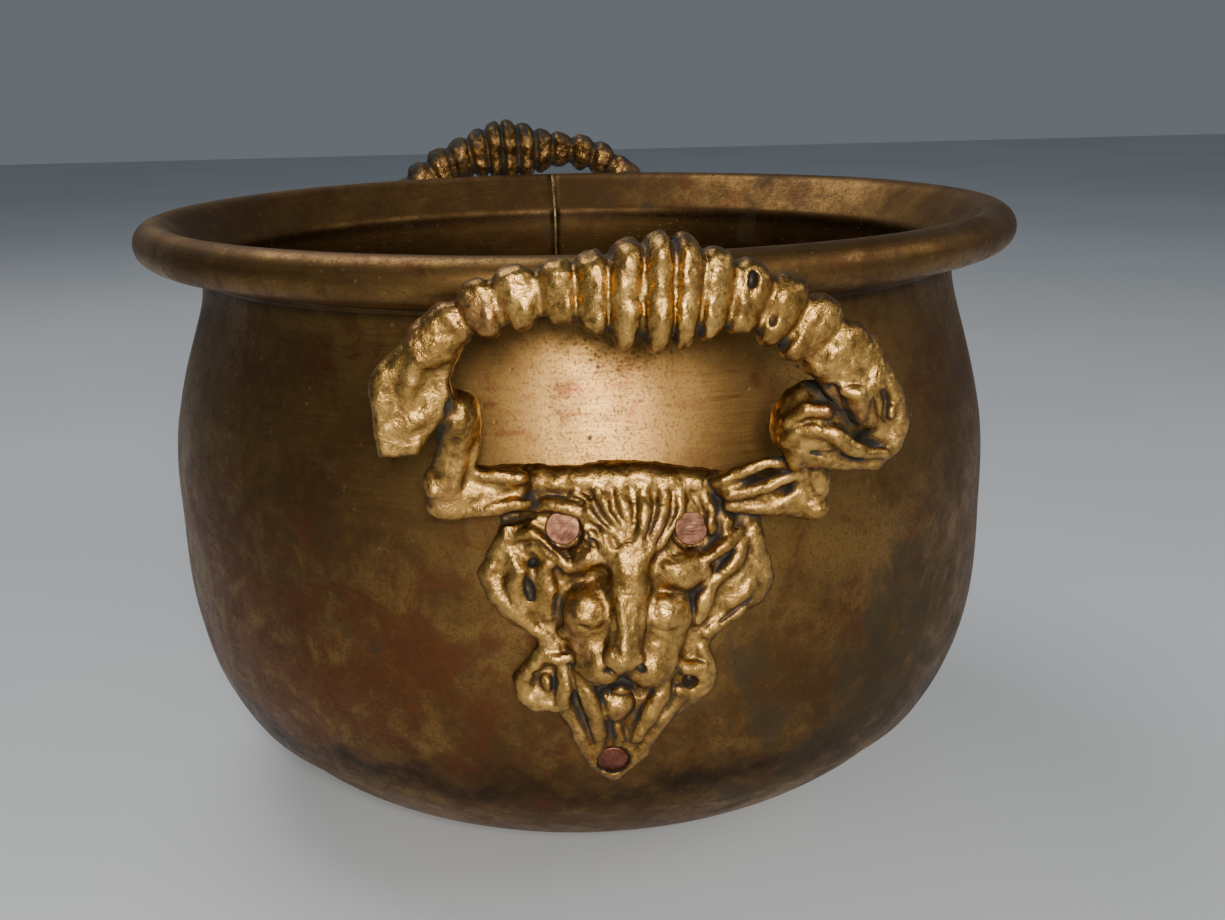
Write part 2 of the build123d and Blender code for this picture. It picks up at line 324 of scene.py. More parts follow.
def sample(d, low, points):
    """The field between its samples, at points."""
    p = (points - low) / STEP
    i = np.clip(np.floor(p).astype(int), 0, np.array(d.shape) - 2)
    return between(d, i, np.clip(p - i, 0, 1))


# ---------------------------------------------------------------- the casting
# Ribs of the grip from left to right: where, top, bottom, lean of the rib and depth of the valley beside it.
RIBS = [(-43.5, 190.0, 179.0, 0.2, 1.6), (-36.0, 196.0, 180.8, -0.3, 1.9), (-27.0, 199.4, 183.4, 0.4, 2.1),
        (-17.0, 200.7, 185.2, -0.2, 1.9), (-9.8, 202.2, 183.4, 0.3, 2.0), (-1.8, 204.8, 178.6, -0.4, 2.3),
        (6.2, 206.6, 177.6, 0.2, 2.3), (12.6, 205.6, 178.9, 0.5, 2.0), (19.6, 202.6, 180.2, -0.2, 2.0),
        (27.8, 199.2, 181.2, 0.3, 2.0), (36.8, 195.4, 176.6, -0.4, 2.2), (44.8, 190.2, 172.0, 0.2, 2.1),
        (52.4, 183.6, 165.6, 0.0, 1.6)]
GRIP_ENDS = (-51, 60)
GRIP_BOX = ((-54, 138, 158), (64, 180, 214))
GRIP_BOXINESS = 3.1
CREST_OUT, END_OUT = 166.0, 155.5
CREST_X, HALF_SPAN = 5.0, 52.0


def grip_out(x):
    """Stand-off of the grip's middle: it leans outwards to the crown."""
    share = np.minimum(np.abs(x - CREST_X) / HALF_SPAN, 1.0)
    return CREST_OUT + (END_OUT - CREST_OUT) * share**1.6


def sculpt_grip(f):
    """Ribbed bail: a boxy oval bar along an arc, pinched between its ribs."""
    xs, tops, bottoms, leans, depths = np.array(RIBS).T
    mid = (tops + bottoms) / 2
    arc = np.polynomial.Polynomial.fit(xs, mid, 4)
    span, x, out, z = f.region(*GRIP_BOX)
    sx = np.linspace(*GRIP_ENDS, 240)
    sz = arc(sx)
    length = np.concatenate([[0], np.cumsum(np.hypot(np.diff(sx), np.diff(sz)))])
    gx, gz = np.meshgrid(x[:, 0, 0], z[0, 0, :], indexing="ij")
    slope = np.gradient(sz, sx)
    norm = np.hypot(1, slope)
    best = np.full(gx.shape, 1e9)
    s, b = np.zeros(gx.shape), np.zeros(gx.shape)
    for i in range(len(sx)):
        dx, dz = gx - sx[i], gz - sz[i]
        dist = dx * dx + dz * dz
        hit = dist < best
        best[hit] = dist[hit]
        s[hit] = (length[i] + (dx + dz * slope[i]) / norm[i])[hit]
        b[hit] = ((dz - dx * slope[i]) / norm[i])[hit]
    places = np.interp(xs, sx, length)
    at = np.interp(s, length, sx)
    half = np.interp(at, xs, (tops - bottoms) / 2)
    b = b - np.interp(at, xs, mid - arc(xs))
    s = s + 0.07 * b * np.interp(at, xs, leans)
    i = np.clip(np.searchsorted(places, s) - 1, 0, len(places) - 2)
    t = np.clip((s - places[i]) / (places[i + 1] - places[i]), 0, 1)
    crest = np.abs(t - 0.5) * 2
    pinch = np.exp(-(crest / 0.40) ** 2) + 0.12 * (1 - crest) ** 2
    spots = np.stack([gx, np.zeros_like(gx), gz], axis=-1).reshape(-1, 3)
    uneven = (0.8 * noise(spots, 5.5, lattice(11)) + 0.5 * noise(spots, 2.6, lattice(12))).reshape(gx.shape)
    depth = np.interp(at, xs, depths)
    under = 1 + 0.9 * np.clip(-b / half, 0, 1) * np.clip(half - 9, 0, 4) / 4
    tall = (half - depth * pinch * under + 0.35 * uneven)[:, None, :]
    deep = (half * 0.50 + 2.2 - 0.80 * depth * pinch + 0.5 * uneven)[:, None, :]
    u = np.abs((out - grip_out(at)[:, None, :]) / deep)
    v = np.abs(b[:, None, :] / tall)
    rho = (u**GRIP_BOXINESS + v**GRIP_BOXINESS) ** (1 / GRIP_BOXINESS)
    ends = np.maximum(-s, s - length[-1])[:, None, :]
    f.merge(span, np.maximum((rho - 1) * np.minimum(tall, deep), ends).astype(np.float32), 0.5)
    # the flaw in the casting between two ribs on the right
    f.hollow((28.6, 195, 172), (1.3, 2.6, 5), -8, 0.5)
    f.hollow((32.6, 190.4, 172.6), (2, 4.4, 3.4), 20, 1)
    f.groove([(33.6, 197, 168.5, 0.9), (34.6, 190, 170, 1.1), (33.6, 184, 167.5, 0.7)], 0.8)
    f.groove([(-11.8, 186, 171, 1), (-7.2, 182.4, 172, 1.6), (-4.8, 183.6, 173.5, 0.8)], 0.8)


def sculpt_left_arm(f):
    """Squared block under the grip's end, its knuckle, and the column down to the mask's corner."""
    f.slab([(-63, 172.8), (-59.6, 176), (-55.5, 178.6), (-48.5, 183.2), (-40.6, 178.4), (-44, 171),
            (-43.4, 164), (-48.6, 157.6), (-52.6, 151.8), (-62.4, 151.8), (-63.4, 162)], 146.5, 158, 2.6)
    f.ridge([(-46.5, 181, 156, 6), (-51.6, 176.6, 154.8, 5.2), (-56, 171.6, 153.2, 4.6)], 1.8)
    # bevel outside, raised leaf inside and the ledge between them
    f.ridge([(-59.6, 172.6, 154.4, 2.8), (-60.2, 164.4, 155, 3), (-59.6, 156.4, 154.4, 3)], 1.6)
    f.ridge([(-48, 179, 159, 2.4), (-52.2, 174.8, 158.4, 2.6), (-54.4, 169, 157, 2.6),
             (-53.6, 163.6, 155.4, 2)], 1.4)
    f.ridge([(-59, 159.6, 155.4, 2.4), (-54, 160.8, 156, 2.6), (-49.6, 162.8, 156, 2.4),
             (-46.2, 166.8, 155, 2)], 1.4)
    f.groove([(-57.6, 171, 159.2, 0.8), (-57.8, 166.2, 159.4, 1.2), (-56.2, 163.8, 159.6, 0.8)], 1)
    f.groove([(-50.8, 170.6, 160, 0.8), (-50, 166.6, 159.6, 1.2), (-47.8, 169.8, 158.6, 0.8)], 1)
    f.groove([(-60.4, 156.6, 159, 0.8), (-55.4, 156.8, 159.4, 1.1), (-50.4, 158.6, 158.8, 1.2)], 1)
    f.blob((-57.6, 154.2, 151.6), (4.4, 2.8, 5.2), 0, 1.6)
    f.groove([(-50.6, 163.4, 160.4, 0.8), (-49.4, 158.6, 159.6, 1.6), (-51.4, 153.6, 158.8, 1.3)], 1)
    # knuckle
    f.blob((-42.8, 160.4, 149.4), (5.4, 6.8, 7), -20, 1.6)
    f.blob((-46.6, 161.6, 151.6), (2.8, 2.6, 4.4), 0, 1)
    f.blob((-43.8, 164.8, 151.8), (2.6, 2.2, 4), -20, 0.9)
    for points in ([(-44.9, 166.4, 156.4, 0.7), (-44.6, 162, 157.4, 0.9), (-46.2, 157.6, 155.6, 0.6)],
                   [(-42.2, 165.4, 156, 0.6), (-41.6, 160.6, 157, 0.8), (-43, 156.4, 155.8, 0.6)]):
        f.groove(points, 0.6)
    # column and foot
    f.ridge([(-42.4, 157, 148.4, 5), (-44.4, 149, 146.4, 4.8), (-46.6, 141, 144.6, 5),
             (-46.8, 136.2, 143.6, 5.2)], 1.6)
    f.ridge([(-38.9, 161, 149.4, 1.5), (-38.6, 153, 148, 1.7), (-40.2, 144.6, 146.2, 1.5),
             (-40.4, 139, 146, 1.2)], 1.2)
    f.groove([(-43.2, 154.6, 153.6, 1), (-44, 148, 152, 1.5), (-45, 142.4, 150.6, 1)], 1)
    f.blob((-49.6, 141.4, 146.4), (2.6, 4.2, 3.4), 12, 1.2)
    f.blob((-47.4, 134.8, 145.8), (4.4, 3, 3.2), -20, 1.2)
    # bar to the mask, two strands round a dark slot
    f.ridge([(-45.6, 136.4, 143.4, 4.8), (-38, 138.4, 143.4, 4.8), (-29, 139.4, 143.6, 4.4)], 1.6)
    f.ridge([(-43.4, 133.2, 145.6, 1.8), (-36.6, 134.4, 147.2, 2.1), (-30.2, 135.6, 147.4, 1.9),
             (-26, 135.2, 147.4, 1.3)], 1.2)
    f.ridge([(-40.4, 143.6, 145.8, 1.6), (-34, 143, 147, 2.1), (-27, 142.4, 147.4, 1.9)], 1.2)
    f.hollow((-29.6, 138.8, 149.6), (4.4, 1.6, 2.4), 6, 0.8)


def sculpt_right_arm(f):
    """Round knuckle with a curl over it, a thin flange outside, and the leg down to the mask's corner."""
    f.blob((48.6, 154.4, 150.6), (11.4, 11.2, 8.6), 0, 1.5)
    f.ridge([(53.4, 174, 155.8, 6.6), (57, 167, 153.8, 6.4), (60.4, 158, 151.4, 6.4)], 2)
    f.ridge([(45.6, 178.4, 160.2, 2.2), (48.6, 174.4, 160.4, 2.4), (51.4, 170.6, 160.2, 2)], 1)
    f.ridge([(38.6, 179.2, 161.4, 1.6), (42.6, 177.4, 162, 1.8), (45.8, 172.8, 160.8, 1.6),
             (48.6, 170.4, 159.6, 1.4)], 0.9)
    # flange: a thin edge that runs outside the knuckle and ends in a blunt beak
    f.ridge([(54.6, 179.4, 155, 2), (60.2, 172.6, 154.4, 2.2), (65.2, 168.6, 153, 2.2),
             (69, 161.4, 152.4, 2.4), (70.9, 154.6, 151.8, 2.6), (69.8, 148.4, 151, 2.6),
             (66.4, 144.6, 150.4, 2.4)], 1.3)
    f.blob((65.6, 152.8, 148.6), (5.4, 9.6, 5.4), -12, 1.5)
    f.groove([(57.6, 176.6, 158.2, 1.3), (59.8, 169.4, 158.6, 1.9), (63.6, 162.6, 157.8, 2.1),
              (65.4, 156.4, 156.8, 1.7), (65, 151.4, 156, 1)], 0.8)
    f.blob((67.8, 157.4, 154.2), (1.4, 2.2, 2), 0, 0.7)
    # petal over the knuckle
    f.slab([(51, 167.6), (60.8, 166.4), (61, 161.2), (58.4, 155.8), (56.4, 157.2),
            (54.2, 162.4)], 153, 162.6, 2.6, 1.4)
    f.ridge([(53.2, 165.2, 162, 1.5), (56.6, 164.8, 162.6, 1.7), (58.4, 160.4, 161.8, 1.2)], 0.9)
    f.groove([(50.6, 165.8, 160.8, 1.3), (53, 161.4, 161.4, 1.4), (55.4, 157, 161, 1)], 0.8)
    # curl: thick fold from the left over the knuckle to the beak
    f.ridge([(40.4, 156.4, 156.4, 1.6), (44.6, 159.8, 158.2, 2), (49.4, 159.6, 159.4, 2.2)], 1.2)
    f.ridge([(40.2, 150.8, 155.4, 1.8), (42.8, 154.2, 157.4, 2.1), (47.4, 155.2, 158.8, 2.2),
             (52.2, 153.2, 159.2, 2.2), (56.4, 149.4, 158.4, 2), (61.4, 147.4, 156.8, 1.9),
             (66, 146.4, 154.6, 1.7)], 1.2)
    f.groove([(45.2, 157.4, 161.4, 0.9), (49.6, 157, 162.4, 1.2), (54, 154.8, 162.2, 1.1),
              (58.4, 152, 160.8, 1.4), (62.6, 151, 158.6, 1.2)], 0.7)
    f.groove([(44.6, 151.6, 160.4, 1.2), (49, 150.6, 161, 1.7), (53.2, 147.4, 159.8, 1.4)], 0.8)
    f.blob((43.6, 148, 153.8), (3, 4.8, 3.6), -8, 1.2)
    f.ridge([(44, 144.8, 151.4, 3), (50, 146.4, 153.2, 2.8), (57, 145, 153.4, 2.8),
             (64.6, 143.6, 152, 2.4)], 1.4)
    f.groove([(47, 148.6, 157, 0.8), (52.4, 147.6, 157.4, 1), (59.6, 146.2, 156.2, 0.8)], 0.7)
    # leg and foot
    f.ridge([(47.6, 146, 147.4, 5.4), (48.4, 139, 145.8, 5.2), (48.6, 133, 144.6, 5)], 1.8)
    f.ridge([(49, 131.4, 144.4, 4.6), (43, 131.6, 144.4, 4.2), (36.5, 134.4, 144.6, 4.4),
             (28, 137, 144.6, 4.2)], 1.8)
    f.blob((51.4, 137.4, 147.4), (2.9, 5, 3.4), 6, 1.2)
    f.blob((50.4, 130.2, 146.8), (3.8, 3.2, 3.2), 10, 1.2)
    f.groove([(46.6, 143.4, 152.2, 1), (47, 138.4, 151.4, 1.4), (48.4, 133.4, 150.2, 1)], 0.9)
    # bar to the mask: a leaf that folds over a dark slot
    f.ridge([(24, 138.4, 146.6, 1.7), (30.6, 141.4, 148, 2), (36.4, 143.6, 148.6, 1.9),
             (41, 143.4, 148.8, 1.8)], 1.1)
    f.ridge([(27.2, 135.4, 147.6, 1.8), (33, 136.4, 148.8, 2.1), (38.8, 138.6, 149.2, 1.9),
             (43.6, 140.4, 149.4, 1.4)], 1.1)
    f.ridge([(27, 131.8, 146.8, 1.5), (33, 131.2, 147.4, 1.9), (39, 131, 147.6, 2.1),
             (44.4, 134.2, 148.2, 1.7)], 1.1)
    f.groove([(29.4, 138.6, 150.6, 0.8), (35, 140.2, 151.6, 1.3), (40.6, 141.4, 151.6, 0.9)], 0.6)
    f.groove([(30.4, 133.6, 150.4, 0.7), (36.4, 134.2, 151, 1.1), (42.4, 136.8, 151, 0.9)], 0.6)


MASK_OUTLINE = [(-39, 142.6), (-32, 143.5), (-22, 143.2), (-11.5, 142.6), (-6, 143.6), (4.5, 143),
                (17.5, 141), (25, 139.6), (33, 137), (37, 130), (37.6, 124), (38.6, 117.6), (40, 113),
                (41.6, 108.6), (40, 104.6), (32.6, 100), (25.4, 95.6), (21.6, 91), (24.5, 85), (24.4, 80),
                (20, 76), (14, 71), (9, 66), (5.4, 60), (0.6, 53.8), (-2.2, 50.8), (-4.6, 50), (-7, 52),
                (-11, 57.4), (-15, 65.4), (-19.6, 74.2), (-27, 74.6), (-30.4, 78), (-31.6, 84), (-28, 88.6),
                (-22.6, 94.6), (-26.4, 98.4), (-32.6, 104.4), (-37.4, 110), (-39.4, 114.6), (-36, 120.6),
                (-32.6, 125.6), (-33, 130.4), (-38, 132.6)]


def sculpt_mane(f):
    """Forehead and the short locks that fall on it, between the two upper rivets."""
    f.blob((0.5, 128.5, 2), (22, 14.5, 6.4), 0, 2.5)
    f.ridge([(-25, 140.2, 3.8, 3), (-8, 140.4, 4.6, 3), (6, 140, 4.8, 3), (22, 137, 4, 3)], 1.5)
    ridges = ([(-13, 136.8, 6.2, 1.6), (-9.8, 133, 7.4, 2.1), (-5.6, 129.2, 8, 1.8), (-2.2, 126, 8, 1)],
              [(-7.4, 138, 6.4, 1.6), (-5.6, 134.4, 7.6, 2), (-2.8, 130.6, 8.4, 1.6), (-0.4, 127.2, 8.2, 1)],
              [(-1.6, 138.2, 6.6, 1.6), (-1, 134.2, 7.8, 1.9), (0.4, 130.2, 8.4, 1.5), (1.2, 127, 8.4, 0.9)],
              [(4.4, 137.8, 6.6, 1.6), (4.6, 133.4, 8, 2), (3.4, 128.6, 8.6, 1.8), (2.4, 124.4, 8.4, 1)],
              [(10, 137.4, 6.2, 1.5), (9.6, 132.6, 7.8, 1.9), (7.4, 127.4, 8.4, 1.7), (5, 123.4, 8.2, 1)],
              [(14.4, 136.4, 5.8, 1.4), (13.6, 131.6, 7.2, 1.8), (11, 126.8, 7.8, 1.6), (8, 122.6, 8, 1)],
              [(20.6, 134.8, 5.2, 1.6), (23, 130.2, 5.8, 2.1), (22.6, 125, 5.8, 1.5)],
              [(-24, 133.2, 4.6, 1.6), (-19.5, 134.4, 6, 1.9), (-14, 133.4, 6.8, 1.8), (-11, 130.4, 7.2, 1)],
              [(-12.2, 130, 6.2, 1.4), (-9.8, 126.4, 7.6, 1.9), (-6.6, 122.8, 7.8, 1.3)],
              [(-13.6, 122.6, 5.2, 1.4), (-10.6, 121.4, 6.8, 1.9), (-8.8, 118.4, 6.6, 1.3)],
              [(-6.6, 127.2, 7.4, 1.2), (-5.2, 123, 8.4, 1.6), (-4.6, 119.2, 7.8, 1)],
              [(-2, 125.4, 8, 1.1), (-1.8, 121.4, 8.8, 1.5), (-1.6, 118, 8.4, 0.9)],
              [(5.8, 123, 8, 1.3), (3.6, 120.6, 8.8, 1.6), (1.6, 117.6, 8.6, 1)],
              [(24, 131.4, 4.8, 1.5), (27.2, 127.4, 5.2, 2.2), (25.8, 122.2, 5.6, 1.6), (21, 119.2, 6.4, 1)])
    for points in ridges:
        f.ridge(points, 1.1)
    slits = ([(-10.6, 137, 8.2, 0.6), (-7.6, 132.6, 9.2, 1.1), (-4.2, 128.6, 9.6, 0.5)],
             [(-4.8, 138, 8.4, 0.6), (-3.6, 133.4, 9.4, 1.1), (-1.4, 129.4, 9.8, 0.5)],
             [(1.6, 138, 8.4, 0.6), (1.9, 133.6, 9.6, 1), (1.9, 128.6, 9.9, 0.5)],
             [(7.4, 137.6, 8.2, 0.6), (7.3, 132.6, 9.6, 1.1), (5.4, 127.2, 10, 0.6)],
             [(12.6, 136.6, 7.6, 0.6), (11.9, 131.6, 9, 1.1), (9.2, 126.4, 9.6, 0.6)],
             [(17.6, 135.6, 6.8, 0.8), (17.9, 131.6, 7.6, 1.2), (16.8, 130, 8, 0.8)],
             [(-15.6, 136.6, 7, 0.6), (-11.6, 135.2, 8.2, 0.8)],
             [(-11.4, 127.6, 8.2, 0.6), (-8.8, 124.4, 9, 0.8), (-7.4, 119.6, 8.6, 0.5)],
             [(-4, 126, 9.6, 0.5), (-3.2, 120.6, 9.6, 0.6)], [(0.4, 125.4, 10, 0.5), (0.2, 119.8, 9.9, 0.6)],
             [(5.6, 125.6, 9.8, 0.5), (3, 121.8, 9.9, 0.5)],
             [(25.4, 133.6, 6.6, 0.6), (23.9, 127.6, 7.6, 0.9)])
    for points in slits:
        f.groove(points, 0.45)


def sculpt_face(f):
    """Snout, brow, the two round eye lumps, muzzle and open mouth."""
    f.blob((-0.8, 104.5, 1), (17, 21.5, 7.8), 0, 2.5)
    f.blob((13.6, 115, 3.4), (10.4, 6.2, 6.8), -8, 2.2)
    f.blob((-9.5, 119.6, 3), (8.4, 4.6, 5.6), 22, 2)
    f.ridge([(0.4, 121, 4.6, 6.4), (-0.2, 113, 6.2, 6.4), (-1, 104.5, 8.2, 5.4), (-1.8, 96.8, 10, 4.8)], 2.6)
    f.ridge([(-3.4, 112.6, 10.6, 1.3), (-2.8, 108.2, 12, 1.3), (-2.2, 101.6, 13.2, 1.3),
             (-2, 97, 14.2, 1.3)], 1.2)
    # sockets
    f.hollow((-12.4, 113.6, 9.8), (7.6, 3.4, 4.4), 30, 1.8)
    f.groove([(-18.6, 109.8, 8, 1.7), (-18.4, 105.2, 7.4, 1.4), (-18, 101, 6.8, 1)], 1.4)
    f.groove([(3.8, 114.6, 12.2, 0.9), (6.6, 112.2, 12, 1.5), (10.6, 110.6, 11.4, 1.7),
              (15, 109.6, 10.4, 1.5), (18.2, 107.6, 9.2, 1.2)], 1.3)
    # eye lumps run on into the cheeks
    f.blob((-10.7, 104.6, 5), (7.8, 7.8, 7), 0, 1.7)
    f.blob((-9.6, 96.2, 4.4), (6.8, 7.4, 6.4), 0, 2)
    f.blob((9.4, 103.2, 5), (8, 7.4, 7), 0, 1.7)
    f.blob((7.8, 95.2, 4.6), (7, 7.4, 6.6), 0, 2)
    f.groove([(-13.4, 103.4, 11.2, 0.6), (-10.4, 101.6, 12, 0.7), (-7.4, 102.6, 11.6, 0.5)], 0.6)
    f.groove([(12.6, 100.8, 11, 0.6), (9.4, 99.8, 11.8, 0.7), (6.4, 101, 11.4, 0.5)], 0.6)
    f.groove([(-5.6, 108.6, 12.4, 0.6), (-5.2, 103, 13.2, 0.8), (-5.4, 98.6, 13.2, 0.6)], 1.1)
    f.groove([(2.6, 107.4, 12.4, 0.6), (2.4, 102.5, 13.2, 0.8), (2.6, 97.6, 13.2, 0.6)], 1.1)
    # muzzle and nose
    f.blob((-8.2, 90.6, 5.6), (7.2, 6.8, 7.4), 10, 1.8)
    f.blob((5.2, 89.2, 5.6), (8, 7, 7.4), -10, 1.8)
    f.blob((-2.4, 93.4, 11.2), (5.4, 3.8, 4.6), 0, 1)
    f.blob((-5.2, 95.2, 13), (1.9, 1.7, 1.8), 0, 0.6)
    f.blob((-1.4, 94.6, 13.9), (2.1, 1.7, 1.8), 0, 0.6)
    f.blob((1.4, 93.4, 12.6), (1.8, 1.8, 1.8), 0, 0.6)
    f.hollow((-6.4, 91, 13.2), (1.5, 1, 2.4), 20, 0.5)
    f.hollow((2, 90.6, 13), (1.4, 1, 2.2), -20, 0.5)
    f.groove([(-2.3, 91, 13.2, 0.5), (-2.2, 86, 12, 0.7)], 0.5)
    # mouth: lip line, cavity, tooth and tongue
    f.hollow((-3.4, 79.6, 8.6), (8.4, 5.6, 5.2), 0, 0.8)
    f.groove([(-13, 89.6, 8, 0.9), (-9.4, 85.8, 10, 1.3), (-5.4, 84.4, 10.6, 1.4), (-1.4, 85, 10.8, 1.3),
              (3.4, 82.8, 10.6, 1.4), (8.6, 84, 9.6, 1.2), (12.2, 87.8, 8, 0.9)], 0.7)
    f.blob((-3.8, 76.8, 3.8), (5.2, 5.4, 5), 0, 0.6)
    f.blob((-2.6, 82.4, 5), (3.4, 2.3, 4.2), 0, 0.5)
    f.blob((-6.8, 80.4, 4.6), (1.5, 2, 3.2), 20, 0.5)
    f.groove([(-7.2, 78.2, 8.8, 0.5), (-4, 79.4, 9.2, 0.7), (-0.6, 78.4, 8.8, 0.5)], 0.4)
    f.groove([(-3.9, 77.6, 9, 0.4), (-3.8, 73.4, 8.2, 0.5)], 0.4)


def sculpt_ears(f):
    """Ears with rolled edges, and the folded leaves of mane above them."""
    f.ridge([(-31, 128.6, 4, 2), (-33.4, 123, 4.4, 2.2), (-37, 115.2, 4.4, 2.5), (-34.6, 109, 4.4, 2.5),
             (-28, 102.2, 4.4, 2.4), (-22.6, 97, 4.2, 2.2), (-19.4, 93, 4.2, 1.8)], 1.2)
    f.ridge([(-31.2, 121.2, 5, 1.8), (-29.2, 117, 5.8, 2.2), (-30.6, 112.4, 5.6, 2.2),
             (-28.4, 106, 4.8, 1.6)], 1.2)
    f.blob((-28.6, 111.4, 2.6), (8.2, 12.6, 4.2), 12, 1.8)
    f.groove([(-33.8, 118.4, 7.2, 0.5), (-33.8, 113, 7.4, 0.8), (-31.6, 107.8, 6.8, 0.5)], 0.9)
    f.groove([(-27, 114.8, 6.4, 0.7), (-26.4, 111.8, 6, 1.3), (-25.8, 108.8, 6.2, 0.8)], 0.6)
    f.hollow((-24.4, 118.4, 5.2), (1.7, 1.2, 2.4), 0, 0.5)
    f.ridge([(-22.2, 117.4, 4.8, 2.2), (-21.6, 111, 4.8, 2.6), (-21.6, 104, 4.4, 2.2)], 1.4)
    f.ridge([(-30.2, 125.4, 4.4, 1.7), (-25, 126.4, 5.4, 2.1), (-20, 122.2, 6.2, 2),
             (-16, 117.6, 6.2, 1.3)], 1.1)
    f.ridge([(-28.6, 122.6, 4.2, 1.3), (-24.4, 122.4, 5, 1.7), (-20.2, 118.6, 5.6, 1.4)], 1)
    f.groove([(-28.4, 124.4, 7, 0.5), (-23.4, 124.6, 7.6, 0.8), (-18.8, 120.4, 8, 0.6)], 0.5)
    f.hollow((-28.8, 130.6, 6.4), (5.6, 1.8, 3.6), 8, 0.8)
    # right
    f.ridge([(31.4, 124.6, 5, 1.6), (26.4, 121.4, 6.8, 2.1), (21, 117.6, 7, 1.4)], 1)
    f.ridge([(31.8, 121.4, 5, 1.8), (28.8, 116, 6.4, 2.3), (24.2, 111.6, 6.4, 1.7)], 1)
    f.groove([(30.8, 122.2, 7.8, 0.6), (26.8, 118.2, 9, 1), (22.4, 114.8, 8.8, 0.6)], 0.45)
    f.ridge([(32.8, 130.4, 4.2, 2), (34.6, 123.6, 4.6, 2.3), (36, 117, 4.4, 2.2), (38, 111.4, 4.4, 2)], 1.3)
    f.ridge([(38.2, 110.4, 4.2, 2.2), (35.6, 105.6, 4.4, 2.4), (29.6, 101.2, 4.4, 2.4),
             (21.6, 96.2, 4.2, 2.1)], 1.2)
    f.ridge([(34.8, 111, 5.2, 1.6), (32.2, 107, 6, 2), (28.2, 104, 5.4, 1.6)], 1)
    f.blob((31, 108.6, 2.8), (8.4, 9.4, 4.2), -20, 1.8)
    f.groove([(33.2, 115.4, 7.2, 0.5), (34.6, 112, 7.4, 0.8), (35.8, 109.4, 7, 0.5)], 0.8)
    f.groove([(33, 104.6, 6.8, 0.6), (29.4, 102.4, 6.8, 0.8), (25, 99.2, 6, 0.6)], 0.5)
    f.ridge([(22.8, 111.4, 6, 2), (20.4, 106.4, 6.6, 2.7), (18.8, 100.8, 5.8, 2.1)], 1)
    f.groove([(21, 109.8, 9.4, 0.6), (19.7, 104.8, 9.8, 0.9), (18.7, 101.2, 8.6, 0.5)], 0.45)
    f.groove([(25.2, 108.4, 7.6, 0.8), (23, 102, 7.2, 1.2), (18.6, 97, 6.8, 1.1),
              (15.4, 93.2, 6.8, 0.7)], 1.1)


def sculpt_jaw(f):
    """The curled jaw leaves at each side and the beard that runs down to the lower rivet."""
    f.blob((-16.8, 99.8, 5.2), (2.6, 2.5, 2.6), 0, 0.6)
    f.ridge([(-22, 95.6, 4, 1.9), (-24.8, 90.4, 4.4, 2.2), (-28.4, 85.2, 4.2, 2.3), (-28.6, 80, 4, 2.2),
             (-25.2, 77, 4, 2.1), (-20.6, 76.6, 4.2, 1.9)], 1.2)
    f.ridge([(-22.8, 92.2, 5, 1.6), (-19.4, 91.2, 6, 1.9), (-16.6, 91.8, 6.2, 1.2)], 0.9)
    f.groove([(-25.4, 87.4, 6.2, 0.7), (-24.8, 83.4, 6, 1.2), (-22.6, 80.4, 5.8, 0.7)], 0.6)
    f.blob((-22.4, 84.6, 5), (1.9, 2.8, 2.6), 20, 0.8)
    f.groove([(-21, 90, 6.8, 0.7), (-20.4, 86, 6.6, 1.2), (-20.6, 81, 6.4, 0.9)], 0.6)
    f.ridge([(-18, 88.8, 5.6, 1.8), (-17.6, 83.6, 6.2, 2.4), (-18, 78, 5.4, 1.9)], 1.1)
    f.ridge([(-14, 88.2, 6.2, 1.9), (-12.2, 82.4, 6.8, 2.6), (-10, 75.4, 6.4, 2.6), (-8.4, 68.4, 5.8, 2.3),
             (-8.6, 62.2, 4.6, 1.7)], 1.2)
    f.groove([(-16, 86.4, 8.6, 0.6), (-15, 79.8, 8.4, 1), (-12.9, 72.4, 7.6, 0.9),
              (-11.2, 65, 6.4, 0.6)], 0.5)
    f.ridge([(-17, 76.2, 4.4, 2), (-14.2, 69.4, 4.4, 2.2), (-11.4, 61.8, 4.2, 2.1),
             (-9.4, 56.6, 4, 1.7)], 1.2)
    f.ridge([(12.6, 88.8, 5.4, 1.8), (15.2, 86.8, 6, 2.1), (19.4, 85.8, 5.8, 2.2), (20.6, 82, 5.2, 2.2),
             (17.2, 78.6, 5, 2.2), (13.4, 80.2, 5.4, 1.8)], 1)
    f.hollow((16.6, 82.6, 6.4), (1.9, 1.7, 3.8), 0, 0.5)
    f.ridge([(20.2, 91.6, 4, 1.9), (22.4, 86, 4.2, 1.9), (22.2, 80.8, 4.2, 1.9), (17, 75.8, 4, 1.9)], 1.1)
    f.ridge([(10, 85, 5, 2), (8.4, 79.6, 5.6, 2.7), (4.8, 73, 5.6, 2.7), (1.6, 66.6, 5, 2.3)], 1.2)
    f.ridge([(13.4, 77.4, 4.8, 2), (9.6, 71.8, 4.8, 2.3), (5.4, 65.2, 4.6, 2.1), (1.8, 58.8, 4.2, 1.8)], 1.2)
    f.groove([(11.8, 80.6, 8.2, 0.5), (8.2, 74, 8.2, 0.8), (4.2, 67.2, 7.4, 0.5)], 0.5)
    f.ridge([(-3.6, 70.4, 5, 1.6), (-3, 66, 4.8, 1.8), (-3.6, 63.4, 4.8, 1.2)], 0.9)
    for sx in (-5.6, -0.6):
        f.groove([(sx, 70, 7, 0.6), (sx, 64.6, 6.4, 0.9)], 0.5)
    f.groove([(-3, 69.8, 7.6, 0.4), (-3.2, 64.4, 7.2, 0.5)], 0.4)


